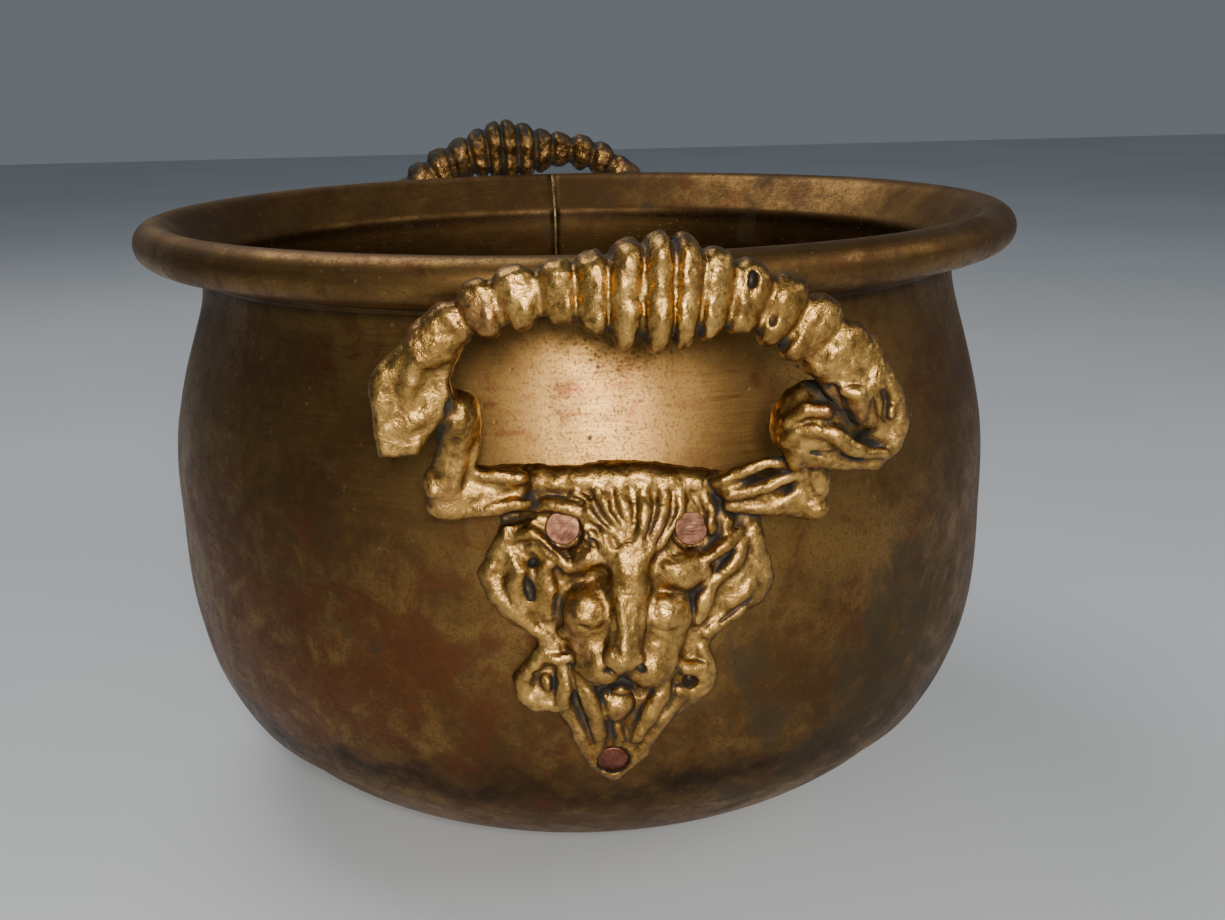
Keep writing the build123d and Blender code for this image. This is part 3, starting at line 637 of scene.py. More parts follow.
def cut_seats(f):
    """Flat-bottomed round seats for the rivets' ends; the lower one has a raised edge."""
    x, z, _ = RIVET_SEATS["lower"]
    f.blob((x, z, 2.2), (7, 6.8, 3.8), 0, 1.2)
    for x, z, sink in RIVET_SEATS.values():
        span, gx, depth, gz = f.region((x - 8, PLATE - sink - 4, z - 8), (x + 8, PLATE + 9, z + 8))
        across = np.hypot(gx - x, gz - z) - (RIVET_FACE_R + 0.1)
        f.merge(span, np.maximum(across, (PLATE - sink - 0.6) - depth), 0.3, True)


def casting_field():
    """The whole handle as a field, with nothing inside the pot's wall."""
    f = Field((-70.0, 131.0, 46.0), (80.0, 180.0, 211.0))
    sculpt_grip(f)
    sculpt_left_arm(f)
    sculpt_right_arm(f)
    f.on_wall = True
    f.slab(MASK_OUTLINE, -1.0, 5.2, 2.4, 1.4)
    sculpt_mane(f)
    sculpt_face(f)
    sculpt_ears(f)
    sculpt_jaw(f)
    cut_seats(f)
    np.maximum(f.d, PLATE_GAP - f.h, out=f.d)
    return f


def cast_skin(verts):
    """Uneven skin of a sand casting, mm: broad melts, lumps and grain."""
    return (0.40 * noise(verts, 6.5, lattice(7)) + 0.36 * noise(verts, 3.1, lattice(6))
            + 0.17 * noise(verts, 1.5, lattice(5)))


def build_handles(material):
    """Both handles: one casting, placed twice."""
    f = casting_field()
    verts, quads = surface(f.d, f.low)
    grad = np.zeros((len(verts), 3))
    for axis in range(3):
        step = np.zeros(3)
        step[axis] = 0.6
        grad[:, axis] = sample(f.d, f.low, verts + step) - sample(f.d, f.low, verts - step)
    grad /= np.linalg.norm(grad, axis=1)[:, None] + 1e-9
    # occlusion: how open the field is along the normal at 1.4 and 4 mm; it darkens hollows as painted shade
    # and dirt
    near, far = (np.clip(sample(f.d, f.low, verts + grad * reach) / reach, -0.2, 1.2) for reach in (1.4, 4.0))
    # painted shade, with dirt: sides and undersides and the plate low near the wall are darkened, and hollows
    # hold dirt and painted shade together
    above = np.hypot(verts[:, 0], verts[:, 1]) - wall_radius(verts[:, 2])
    low = np.clip(1 - (above - 2) / 6, 0, 1) * (verts[:, 2] < PLATE_TOP)
    faces_out_or_up = np.clip(grad[:, 1] + 0.3 * grad[:, 2], 0, 1)
    hollow_shade_and_dirt = np.clip(1.0 - 0.5 * near - 0.5 * far + 0.20 * (1 - faces_out_or_up) + 0.12 * low, 0, 1)
    moved = verts + grad * cast_skin(verts)[:, None]
    points = np.stack([moved[:, 0], -moved[:, 1], moved[:, 2]], 1)
    quads = quads[:, ::-1]
    for which in ("front", "rear"):
        p = points.copy()
        if which == "rear":
            m = np.array(rear_place())
            p = points @ m[:3, :3].T + m[:3, 3]
        # the back lies on the wall
        radius = np.hypot(p[:, 0], p[:, 1])
        least = wall_radius(p[:, 2]) + PLATE_GAP
        sunk = (radius < least) & (p[:, 2] < NECK_Z)
        p[sunk, :2] *= (least[sunk] / radius[sunk])[:, None]
        piece = mesh_piece(f"{which}_casting", p, quads, material, [f"{which}_handle"])
        # the attribute carries dirt and painted shade to the material
        shade = piece.data.attributes.new("hollow_shade_and_dirt", "FLOAT", "POINT")
        shade.data.foreach_set("value", hollow_shade_and_dirt.astype(np.float32))


# ---------------------------------------------------------------- sheet-metal pieces
def lip_line():
    """Middle of the sheet as (radius, height): up the wall, out over the wire and back under it."""
    wall = offset_line(BRAZE_GAP + SHEET / 2, LAP_LOW, NECK_Z, 400)
    neck = NECK_R + BRAZE_GAP + SHEET / 2
    skirt = neck + SHEET + 2 * WIRE_SLACK
    crease, tuck = np.array((neck, CREASE_Z)), np.array((skirt, CREASE_Z - 1.1))
    centre, radius = np.array((BEAD_CENTRE_R, BEAD_Z)), BEAD_R - SHEET / 2

    def touch(point, side):
        away = point - centre
        return np.arctan2(away[1], away[0]) + side * np.arccos(radius / np.hypot(*away))

    over, under = touch(crease, -1), touch(tuck, 1)
    turn = np.linspace(over, under - 2 * pi if under > over else under, 80)
    arc = centre + radius * np.stack([np.cos(turn), np.sin(turn)], 1)
    path = np.concatenate([wall, [crease], arc, [tuck, (skirt, NECK_Z + 0.4)]])
    length = np.concatenate([[0], np.cumsum(np.hypot(*np.diff(path, axis=0).T))])
    fine = np.arange(0, length[-1], 0.25)
    line = np.stack([np.interp(fine, length, path[:, i]) for i in (0, 1)], 1)
    for _ in range(CORNER_SOFTNESS):
        line[1:-1] = (line[:-2] + 2 * line[1:-1] + line[2:]) / 4
    return line


def section_chains(wall_count, lip_count):
    """Points along the sheet's middle with their normals, which point to the curl's inside."""
    line = lip_line()
    along = np.gradient(line, axis=0)
    along /= np.hypot(*along.T)[:, None]
    split = int(np.argmax(line[:, 1] > LIP_FROM))
    pick = np.concatenate([np.linspace(0, split, wall_count, endpoint=False),
                           np.linspace(split, len(line) - 1, lip_count)])
    at = np.arange(len(line))
    middle = np.stack([np.interp(pick, at, line[:, i]) for i in (0, 1)], 1)
    across = np.stack([np.interp(pick, at, along[:, 1]), -np.interp(pick, at, along[:, 0])], 1)
    return middle, across


def ring_quads(columns, rows):
    """Quads of closed loops of points, one loop in each column."""
    i, j = np.meshgrid(np.arange(columns - 1), np.arange(rows), indexing="ij")
    i, j = i.ravel(), j.ravel()
    k = (j + 1) % rows
    return np.stack([i * rows + j, (i + 1) * rows + j, (i + 1) * rows + k, i * rows + k], 1)


def capped_quads(columns, rows):
    """ring_quads with both ends closed, across loops that run up one side of a sheet and down the other."""
    j = np.arange(rows // 2 - 1)
    cap = np.stack([j, j + 1, rows - 2 - j, rows - 1 - j], 1)
    return np.concatenate([ring_quads(columns, rows), cap, (cap + (columns - 1) * rows)[:, ::-1]])


def facing_out(verts, faces):
    """Faces turned so that the closed surface encloses a positive volume."""
    a, b, c = (verts[faces[:, i]] for i in (0, 1, 2))
    volume = np.einsum("ij,ij->i", a, np.cross(b, c)).sum()
    if faces.shape[1] == 4:
        volume += np.einsum("ij,ij->i", a, np.cross(c, verts[faces[:, 3]])).sum()
    return faces if volume > 0 else faces[:, ::-1]


def around(rz, angles):
    """Points of a section (radius, height) set at each angle, where 0 is the front."""
    sa, ca = np.sin(angles)[:, None], np.cos(angles)[:, None]
    return np.stack([rz[..., 0] * sa, -rz[..., 0] * ca, rz[..., 1] + 0 * sa], -1)


def handle_cover(points):
    """1 under the handles' plates and near the seam, 0 where the wall is free to be dented."""
    angle = np.degrees(np.arctan2(points[:, 0], -points[:, 1]))
    z = points[:, 2]
    cover = np.zeros(len(points))
    for middle, low, high in ((0.0, 40.0, 152.0), (180.0 - REAR_TURN, 54.0, 168.0), (180.0, 30.0, 200.0)):
        half = 26.0 if low > 30 else 3.0
        off = np.abs((angle - middle + 180) % 360 - 180) - half
        up = np.maximum(low - z, z - high)
        cover = np.maximum(cover, np.clip(1 - np.maximum(off, up / 2.5) / 6.0, 0, 1))
    return cover * cover * (3 - 2 * cover)


def wall_dents(points):
    """How far the wall is pushed in, mm: broad dents, small knocks and planishing marks."""
    broad = np.clip(noise(points, 46.0, lattice(11)) + 0.1, 0, 1) ** 1.4 * 1.1
    knocks = np.clip(noise(points, 17.0, lattice(12)) - 0.25, 0, 1) * 0.55
    planish = 0.07 * np.abs(noise(points, 7.5, lattice(13)))
    low = np.clip((points[:, 2] - 50) / 14, 0, 1)
    high = np.clip((186 - points[:, 2]) / 14, 0, 1)
    return (broad + knocks + planish) * low * high * (1 - handle_cover(points))


def rim_sag(points):
    """Uneven rolling of the rim: a fall in height and a pull inwards, mm."""
    share = np.clip((points[:, 2] - 178) / 8, 0, 1)
    flat = points * (1, 1, 0.2)
    fall = 0.32 * (1 + noise(flat, 60.0, lattice(14)))
    pull = 0.28 * (1 + noise(flat, 34.0, lattice(15))) + 0.07 * (1 + noise(points, 9.0, lattice(16)))
    return fall * share, pull * share


def build_wall(material):
    """The sheet with its rolled lip, taken round the pot from one side of the back joint to the other."""
    middle, across = section_chains(90, 60)
    loop = np.concatenate([middle + across * SHEET / 2, (middle - across * SHEET / 2)[::-1]])
    gap = SEAM_WIDTH / RIM_R / 2
    columns = 312     # round the pot
    angles = np.linspace(-pi + gap, pi - gap, columns)
    points = around(np.broadcast_to(loop, (columns, *loop.shape)), angles).reshape(-1, 3)
    core = np.concatenate([middle, middle[::-1]])
    base = around(np.broadcast_to(core, (columns, *loop.shape)), angles).reshape(-1, 3)
    inward = wall_dents(base)
    fall, pull = rim_sag(base)
    shrink = 1 - (inward + pull) / np.hypot(base[:, 0], base[:, 1])
    points[:, :2] *= shrink[:, None]
    points[:, 2] -= fall
    faces = capped_quads(columns, len(loop))
    return mesh_piece("pot_wall", points, facing_out(points, faces), material, ["body_wall"])


def build_seam(material):
    """Brazed joint up the back: it fills the gap and smears a little over both edges."""
    middle, across = section_chains(70, 56)
    columns = 13
    rows = len(middle)
    points = []
    for s in np.linspace(-1, 1, columns):
        edge = SEAM_WIDTH / RIM_R / 2 * 1.5
        radius, height = middle.T
        spread = 1 + 0.35 * noise(np.stack([radius + 40 * (s > 0), height, height], 1), 4.0, lattice(21))
        angle = pi + s * edge * spread
        beads = noise(np.stack([radius, height, 0 * height + 9 * s], 1), 2.2, lattice(22))
        proud = 0.12 * (1 - np.abs(s) ** 3) - 0.05 + 0.06 * beads * (1 - abs(s))
        half = across * (SHEET / 2 + proud[:, None])
        loop = np.concatenate([middle + half, (middle - half)[::-1]])
        turn = np.concatenate([angle, angle[::-1]])
        p = np.stack([loop[:, 0] * np.sin(turn), -loop[:, 0] * np.cos(turn), loop[:, 1]], 1)
        fall, pull = rim_sag(p)
        p[:, :2] *= (1 - pull / np.hypot(p[:, 0], p[:, 1]))[:, None]
        p[:, 2] -= fall
        points.append(p)
    points = np.concatenate(points)
    faces = capped_quads(columns, 2 * rows)
    return mesh_piece("back_seam", points, facing_out(points, faces), material, ["wall_seam_braze"])


def turned_piece(name, section, columns, material, replaced, move=None):
    """A closed shape turned about Z from a section that starts and ends on the axis."""
    section = np.asarray(section, float)
    angles = np.linspace(-pi, pi, columns, endpoint=False)
    rows = len(section) - 2
    body = around(np.broadcast_to(section[1:-1], (columns, rows, 2)), angles).reshape(-1, 3)
    tips = np.array([(0, 0, section[0, 1]), (0, 0, section[-1, 1])])
    points = np.concatenate([body, tips])
    if move is not None:
        points = move(points)
    i, j = np.meshgrid(np.arange(columns), np.arange(rows - 1), indexing="ij")
    i, j = i.ravel(), j.ravel()
    k = (i + 1) % columns
    quads = np.stack([i * rows + j, k * rows + j, k * rows + j + 1, i * rows + j + 1], 1)
    i = np.arange(columns)
    k = (i + 1) % columns
    first = np.stack([np.full(columns, columns * rows), k * rows, i * rows], 1)
    last = np.stack([np.full(columns, columns * rows + 1), i * rows + rows - 1, k * rows + rows - 1], 1)
    tris = np.concatenate([first, last])
    turned = facing_out(points, quads)
    if turned[0, 0] != quads[0, 0]:
        tris = tris[:, ::-1]
    return mesh_piece(name, points, [turned, tris], material, replaced)


def build_pan(material):
    """Bottom and lower wall as one turned sheet."""
    lap_foot = offset_line(0.0, 0.0, LAP_HIGH, 44)
    lap_in = offset_line(-SHEET, 0.0, LAP_HIGH, 44)
    floor_r = np.linspace(0, BASE_R, 34, endpoint=False)
    section = np.concatenate([np.stack([floor_r, 0 * floor_r], 1), lap_foot, lap_in[::-1],
                              np.stack([floor_r, 0 * floor_r + SHEET], 1)[::-1]])

    def hammer(points):
        """Lift the floor a little and mark it, and dent the side below the lap."""
        r = np.hypot(points[:, 0], points[:, 1])
        z = points[:, 2]
        inner = np.clip((BASE_R - r) / 10, 0, 1)
        flat = points * (1, 1, 0)
        lumps = noise(flat, 30.0, lattice(32)).clip(0, 1)
        points[:, 2] += inner * (0.12 + 0.10 * noise(flat, 9.0, lattice(31)) + 0.12 * lumps)
        side = np.clip((z - 4) / 6, 0, 1) * np.clip((31 - z) / 4, 0, 1)
        marks = np.abs(noise(points, 8.0, lattice(33)))
        dents = np.clip(noise(points, 30.0, lattice(34)), 0, 1)
        push = side * (0.07 * marks + 0.5 * dents)
        points[:, :2] *= (1 - push / np.maximum(r, 1))[:, None]
        return points

    columns = 300
    return turned_piece("pot_pan", section, columns, material, ["base_pan"], hammer)


def build_lap(material):
    """Spelter in the base lap: a thin layer, a ragged fillet under the wall's edge and one inside."""
    columns = 420
    angles = np.linspace(-pi, pi, columns, endpoint=False)
    outer = [(-1.6, 0.02), (-1.2, 0.25), (-0.7, 0.62), (-0.3, 0.95), (0.1, 1.1), (0.4, 0.9), (0.5, BRAZE_GAP)]
    inner_face = [(12.9, BRAZE_GAP), (12.9, -0.3), (12.6, -1.0), (12.2, -1.3), (11.6, -1.32), (11.2, -1.22)]
    heights = FORM_LINE[:, 1]
    along = np.gradient(FORM_LINE, axis=0)
    along /= np.hypot(*along.T)[:, None]

    def on_line(dz, out):
        k = np.arange(len(heights))
        at = np.interp(LAP_LOW + dz, heights, k)
        p = np.array([np.interp(at, k, FORM_LINE[:, i]) for i in (0, 1)])
        t = np.array([np.interp(at, k, along[:, i]) for i in (0, 1)])
        return p + np.array((t[1], -t[0])) * out

    loops = []
    table = lattice(41)
    for a in angles:
        ring = np.array([(RIM_R * sin(a), RIM_R * cos(a), 0.0)])
        wobble = float(noise(ring, 6.0, table)[0] * 0.6 + noise(ring, 2.3, table)[0] * 0.4)
        loop = []
        for dz, out in outer:
            grow = 1 + 0.5 * wobble
            swell = 1 + 0.25 * wobble if out > BRAZE_GAP else 1
            loop.append(on_line(dz * (grow if dz < 0 else 1), out * swell))
        for dz, out in inner_face:
            loop.append(on_line(dz - (0.5 * wobble if out < -1.2 else 0), out))
        loop.append(on_line(6.0, -0.05))
        loop.append(on_line(0.5, -0.05))
        loops.append(loop)
    loops = np.array(loops)
    points = around(loops, angles).reshape(-1, 3)
    rows = loops.shape[1]
    quads = ring_quads(columns + 1, rows) % (columns * rows)
    return mesh_piece("base_lap", points, [facing_out(points, quads)], material, ["base_seam_braze"])


def rear_place():
    """Where the rear handle stands: the front one turned round the pot, raised and tipped."""
    tip = Matrix.Translation(TILT_CENTRE) @ Matrix.Rotation(radians(-REAR_TILT), 4, "X")
    tip = tip @ Matrix.Translation([-c for c in TILT_CENTRE])
    return Matrix.Rotation(radians(180 + REAR_TURN), 4, "Z") @ Matrix.Translation((0, 0, REAR_RISE)) @ tip


def rivet_frame(which, x, z):
    """Foot of a rivet on the wall's outer face, and its outward axis."""
    seat = Vector((x, -float(wall_radius(z)), z))
    if which == "rear":
        seat = rear_place() @ seat
    out = Vector((seat.x, seat.y, 0)).normalized()
    slope = (float(wall_radius(seat.z + 1)) - float(wall_radius(seat.z - 1))) / 2
    axis = (out - Vector((0, 0, slope))).normalized()
    return out * float(wall_radius(seat.z)) + Vector((0, 0, seat.z)), axis


def build_rivet(which, name, material, seed):
    """Flush worn end in the mask, shank, and a low domed head inside the pot."""
    x, z, sink = RIVET_SEATS[name]
    depth = PLATE - sink
    foot, axis = rivet_frame(which, x, z)
    face = [(r, depth - 0.05 * (r / RIVET_FACE_R) ** 2) for r in np.linspace(0, 4.25, 28)]
    edge = [(4.45, depth - 0.12), (4.58, depth - 0.3), (RIVET_FACE_R, depth - 0.6),
            (RIVET_SHANK_R, depth - 2.2), (RIVET_SHANK_R, -1.1)]
    ball = (RIVET_HEAD_R**2 + RIVET_HEAD_RISE**2) / (2 * RIVET_HEAD_RISE)
    head = [(RIVET_HEAD_R, -1.15), (RIVET_HEAD_R + 0.05, -1.45)]
    for r in np.linspace(RIVET_HEAD_R, 0, 22):
        head.append((r, -1.7 - (np.sqrt(ball**2 - r**2) - (ball - RIVET_HEAD_RISE))))
    section = np.array(face + edge + head)
    across = Vector((0, 0, 1)).cross(axis).normalized()
    up = axis.cross(across)
    basis = np.array([across, up, axis])
    rng = np.random.default_rng(seed)
    tilt = radians(FILE_TURN[name])

    def finish(points):
        """Hammer marks, a ragged rim and file scratches, then set the rivet in its place."""
        p = points * (1, -1, 1)
        r = np.hypot(p[:, 0], p[:, 1])
        front = (p[:, 2] > depth - 0.4) & (r < 4.5)
        table = lattice(seed)
        p[front, 2] += 0.09 * noise(p[front] * (1, 1, 0), 1.9, table) - 0.02
        for _ in range(9):
            turn = tilt + rng.normal(0, 0.12)
            place = rng.uniform(-2.6, 2.6)
            off = p[:, 0] * sin(turn) + p[:, 1] * cos(turn) - place
            groove = rng.uniform(0.04, 0.13) * np.exp(-(off / rng.uniform(0.12, 0.3)) ** 2)
            p[front, 2] -= (groove * np.clip(noise(p * (0.3, 0.3, 0), 1.0, table) + 0.6, 0, 1))[front]
        grow = 1 + 0.02 * noise(p * (1, 1, 0.2), 2.4, table) * (r > 4.2)
        p[:, :2] *= grow[:, None]
        back = p[:, 2] < -1.3
        p[back] += 0.10 * noise(p[back], 2.2, table)[:, None] * (0.3, 0.3, 1)
        return p @ basis + np.array(foot)

    return turned_piece(f"{which}_{name}_rivet", section, 64, material,
                        [f"{which}_rivet_{name}"], finish)


# ---------------------------------------------------------------- materials
class Look:
    """Node tree of one material, with short calls to add to it."""

    def __init__(self, name):
        self.material = bpy.data.materials.new(name)
        self.material.use_nodes = True
        self.tree = self.material.node_tree
        self.surface = self.tree.nodes["Principled BSDF"]
        self.place = self.add("TexCoord").outputs["Object"]

    def add(self, kind, inputs=None, **settings):
        n = self.tree.nodes.new("ShaderNode" + kind)
        for key, value in settings.items():
            setattr(n, key, value)
        for key, value in (inputs or {}).items():
            self.set(n.inputs[key], value)
        return n

    def set(self, socket, value):
        if isinstance(value, bpy.types.NodeSocket):
            self.tree.links.new(value, socket)
        elif socket.type == "RGBA":
            socket.default_value = (*value, 1)
        else:
            socket.default_value = value

    def maths(self, kind, a, b=0.0):
        return self.add("Math", {0: a, 1: b}, operation=kind).outputs[0]

    def times(self, a, b):
        return self.maths("MULTIPLY", a, b)

    def plus(self, a, b):
        return self.maths("ADD", a, b)

    def minus(self, a, b):
        return self.maths("SUBTRACT", a, b)

    def point(self, x, y):
        return self.add("CombineXYZ", {0: x, 1: y}).outputs[0]

    def noise(self, size_mm, detail=4.0, rough=0.55, bend=0.0, place=None, seed=0.0):
        """Noise from 0 to 1 whose blotches are about size_mm across."""
        n = self.add("TexNoise", {"Vector": self.place if place is None else place, "Scale": 1000.0 / size_mm,
                                  "Detail": detail, "Roughness": rough, "Distortion": bend, "W": seed},
                     noise_dimensions="4D")
        return n.outputs["Fac"]

    def cells(self, size_mm):
        """Distance to the nearest of points that lie about size_mm apart."""
        return self.add("TexVoronoi", {"Vector": self.place, "Scale": 1000.0 / size_mm}).outputs["Distance"]

    def step(self, value, low, high, to_low=0.0, to_high=1.0):
        """Map low..high smoothly onto to_low..to_high."""
        n = self.add("MapRange", {"Value": value, "From Min": low, "From Max": high, "To Min": to_low,
                                  "To Max": to_high}, interpolation_type="SMOOTHSTEP")
        return n.outputs["Result"]

    def mix(self, share, a, b):
        return self.add("Mix", {0: share, 6: a, 7: b}, data_type="RGBA").outputs[2]

    def stain(self, colour, share, strength, tint):
        """Colour with a tint over it, at most to the strength."""
        return self.mix(self.times(share, strength), colour, tint)

    def bump(self, *layers):
        """Stack bumps: (height, depth in mm, strength)."""
        normal = None
        for height, depth, strength in layers:
            inputs = {"Height": height, "Distance": depth * MM, "Strength": strength}
            if normal is not None:
                inputs["Normal"] = normal
            normal = self.add("Bump", inputs).outputs["Normal"]
        self.set(self.surface.inputs["Normal"], normal)

    def finish(self, colour, rough, metal):
        self.set(self.surface.inputs["Base Color"], colour)
        self.set(self.surface.inputs["Roughness"], rough)
        self.set(self.surface.inputs["Metallic"], metal)
        return self.material


def round_the_pot(look):
    """Angle round the pot from the front, in radians, and height, in metres."""
    xyz = look.add("SeparateXYZ", {0: look.place})
    angle = look.maths("ARCTAN2", xyz.outputs["X"], look.times(xyz.outputs["Y"], -1.0))
    return angle, xyz.outputs["Z"]


def hump(look, value, middle, half):
    """1 at the middle, fading to 0 at middle +- half."""
    off = look.maths("ABSOLUTE", look.minus(value, middle))
    return look.step(off, 0.0, half, 1.0, 0.0)


BELLY_R = 0.14                  # metres


def sheet_look():
    """Tarnished sheet brass, with stains by area and a painted highlight on the front."""
    look = Look("aged_sheet_brass")
    angle, height = round_the_pot(look)
    across = look.times(angle, BELLY_R)
    smear_place = look.point(across, look.times(height, 5.5))
    gold, tan_gold = (0.250, 0.139, 0.041), (0.190, 0.100, 0.029)
    brown, red_brown = (0.090, 0.047, 0.019), (0.140, 0.046, 0.019)
    olive, black = (0.042, 0.032, 0.013), (0.016, 0.011, 0.007)
    large = look.noise(95, 3.0, 0.5, 0.6)
    patchy = look.noise(30, 7.0, 0.62, 0.9, seed=3.0)
    fine = look.noise(5.5, 6.0, 0.7, 0.4, seed=5.0)
    grain = look.noise(0.8, 3.0, 0.6, seed=7.0)
    smear = look.noise(34, 6.0, 0.62, 0.5, smear_place, seed=2.0)
    front = look.times(hump(look, angle, 0.03, 0.85), hump(look, height, 0.145, 0.085))
    # tarnish, made less on the front where a pool of light is painted in as the key light's highlight
    tarnish_and_lit_front = look.plus(look.times(large, 0.55), look.times(patchy, 0.55))
    tarnish_and_lit_front = look.minus(tarnish_and_lit_front, look.times(front, 0.17))
    tarnish_and_lit_front = look.plus(tarnish_and_lit_front, look.times(look.minus(fine, 0.5), 0.5))
    colour = look.mix(look.step(patchy, 0.35, 0.7), gold, tan_gold)
    brown_share = look.step(tarnish_and_lit_front, 0.40, 0.66)
    colour = look.stain(colour, brown_share, 0.86, brown)
    # red stains, mostly low on the left, and smears below the neck
    low_left = look.times(hump(look, angle, -0.75, 0.9), hump(look, height, 0.075, 0.075))
    low_right = look.times(hump(look, angle, 0.62, 0.7), hump(look, height, 0.062, 0.06))
    reds = look.plus(look.noise(17, 7.0, 0.66, 1.1, seed=9.0), look.times(low_left, 0.16))
    red_share = look.step(reds, 0.535, 0.66)
    colour = look.stain(colour, red_share, 0.75, red_brown)
    neck = hump(look, height, 0.162, 0.05)
    smear_share = look.times(look.step(smear, 0.55, 0.72), look.plus(look.times(neck, 0.6), 0.25))
    colour = look.mix(smear_share, colour, red_brown)
    # olive-black bloom on the low right and in a band above the lap
    bloom = look.plus(look.noise(38, 6.0, 0.6, 1.3, seed=12.0), look.times(low_right, 0.20))
    bloom_share = look.step(bloom, 0.58, 0.70)
    colour = look.stain(colour, bloom_share, 0.8, olive)
    ragged = look.minus(look.noise(24, 6.0, 0.65, seed=14.0), 0.5)
    edge = look.plus(height, look.times(ragged, 0.03))
    band = hump(look, edge, 0.044, 0.013)
    broken = look.step(look.noise(16, 5.0, 0.6, seed=15.0), 0.4, 0.6, 0.25, 0.85)
    colour = look.stain(colour, band, broken, black)
    # dark band round the neck line: painted shade under the rolled rim, with dirt at the lip's edge
    under_rim_shade_line = hump(look, height, 0.1815, 0.0045)
    colour = look.stain(colour, under_rim_shade_line, 0.7, black)
    # pits and fine speckle
    spots = look.step(look.cells(3.4), 0.05, 0.22, 1.0, 0.0)
    spots = look.times(spots, look.step(look.noise(13, 4.0, 0.6, seed=17.0), 0.45, 0.62))
    speckle = look.step(grain, 0.48, 0.66)
    colour = look.stain(colour, spots, 0.7, black)
    colour = look.stain(colour, speckle, 0.6, brown)
    bright = look.step(look.noise(2.2, 3.0, 0.6, seed=19.0), 0.62, 0.74)
    colour = look.stain(colour, bright, 0.3, gold)
    # long faint wiping scratches round the pot
    scratch_place = look.point(look.times(across, 0.35), look.times(height, 9.0))
    scratch = look.noise(7.0, 5.0, 0.7, 0.1, scratch_place, seed=21.0)
    dull = look.plus(look.times(brown_share, 0.13), look.times(bloom_share, 0.12))
    rough = look.plus(0.36, dull)
    rough = look.plus(rough, look.times(speckle, 0.10))
    rough = look.plus(rough, look.times(look.step(scratch, 0.4, 0.65), 0.07))
    rough = look.plus(rough, look.times(spots, 0.2))
    metal = look.minus(1.0, look.times(look.maths("MAXIMUM", spots, look.times(bloom_share, 0.4)), 0.6))
    look.bump((look.noise(11, 3.0, 0.5, seed=23.0), 0.25, 0.45), (scratch, 0.035, 0.5), (grain, 0.05, 0.5),
              (look.minus(1.0, spots), 0.12, 0.7))
    return look.finish(colour, rough, metal)


def cast_look():
    """Rubbed cast brass, with dirt and painted shade in its recesses, and painted shade on the rear handle.
    """
    look = Look("old_cast_brass")
    hollow_shade_and_dirt = look.add("Attribute", attribute_name="hollow_shade_and_dirt").outputs["Fac"]
    fine = look.noise(2.2, 5.0, 0.65, 0.4, seed=31.0)
    grain = look.noise(0.7, 3.0, 0.6, seed=33.0)
    patch = look.noise(14, 5.0, 0.6, 0.8, seed=35.0)
    crest, tan, pink = (0.60, 0.35, 0.098), (0.36, 0.195, 0.050), (0.44, 0.205, 0.085)
    brown, black = (0.105, 0.052, 0.017), (0.022, 0.016, 0.009)
    colour = look.mix(look.step(patch, 0.35, 0.65), crest, tan)
    colour = look.stain(colour, look.step(look.noise(22, 4.0, 0.55, 0.5, seed=37.0), 0.55, 0.68), 0.6, pink)
    colour = look.stain(colour, look.step(fine, 0.50, 0.68), 0.55, brown)
    stain = look.step(look.noise(5.0, 6.0, 0.7, 0.9, seed=43.0), 0.47, 0.62)
    colour = look.stain(colour, stain, 0.55, brown)
    # grime here is dirt and painted shade: the hollow shade attribute, noise, and a darkening of the rear
    # handle
    grime_and_shade = look.plus(hollow_shade_and_dirt, look.times(look.minus(patch, 0.5), 0.35))
    grime_and_shade = look.plus(grime_and_shade, look.times(look.minus(fine, 0.5), 0.55))
    xyz = look.add("SeparateXYZ", {0: look.place})
    # painted shade: the rear handle, further from the key light, is darkened
    grime_and_shade = look.plus(grime_and_shade, look.step(xyz.outputs["Y"], 0.0, 0.1, 0.0, 0.24))
    light_dirt_and_shade = look.step(grime_and_shade, 0.10, 0.42)
    dirt_and_shade = look.step(grime_and_shade, 0.36, 0.68)
    colour = look.stain(colour, light_dirt_and_shade, 0.75, brown)
    colour = look.mix(dirt_and_shade, colour, black)
    pits = look.step(look.cells(1.9), 0.05, 0.25, 1.0, 0.0)
    pits = look.times(pits, look.step(look.noise(8, 3.0, 0.5, seed=39.0), 0.5, 0.65))
    colour = look.stain(colour, pits, 0.6, brown)
    rough = look.plus(0.29, look.times(dirt_and_shade, 0.36))
    rough = look.plus(rough, look.times(look.step(fine, 0.35, 0.65), 0.14))
    metal = look.minus(1.0, look.times(dirt_and_shade, 0.75))
    look.bump((look.noise(3.2, 4.0, 0.6, 0.4, seed=41.0), 0.75, 0.8), (fine, 0.28, 0.8), (grain, 0.07, 0.6),
              (look.minus(1.0, pits), 0.15, 0.7))
    return look.finish(colour, rough, metal)


def rivet_look(name, bright, dark):
    look = Look(name)
    patch = look.noise(3.6, 5.0, 0.65, 0.6, seed=51.0)
    turned = look.add("Mapping", {"Vector": look.place, "Rotation": (0, 0.6, 0), "Scale": (0.25, 1, 4)})
    lines = look.noise(2.0, 5.0, 0.7, 0.2, turned.outputs[0], seed=53.0)
    colour = look.mix(look.step(patch, 0.38, 0.66), bright, dark)
    colour = look.mix(look.times(look.step(lines, 0.55, 0.66), 0.7), colour, (0.10, 0.04, 0.03))
    rough = look.plus(0.34, look.times(patch, 0.2))
    look.bump((lines, 0.06, 0.6), (look.noise(0.9, 3.0, 0.6, seed=55.0), 0.04, 0.5))
    return look.finish(colour, rough, 1.0)


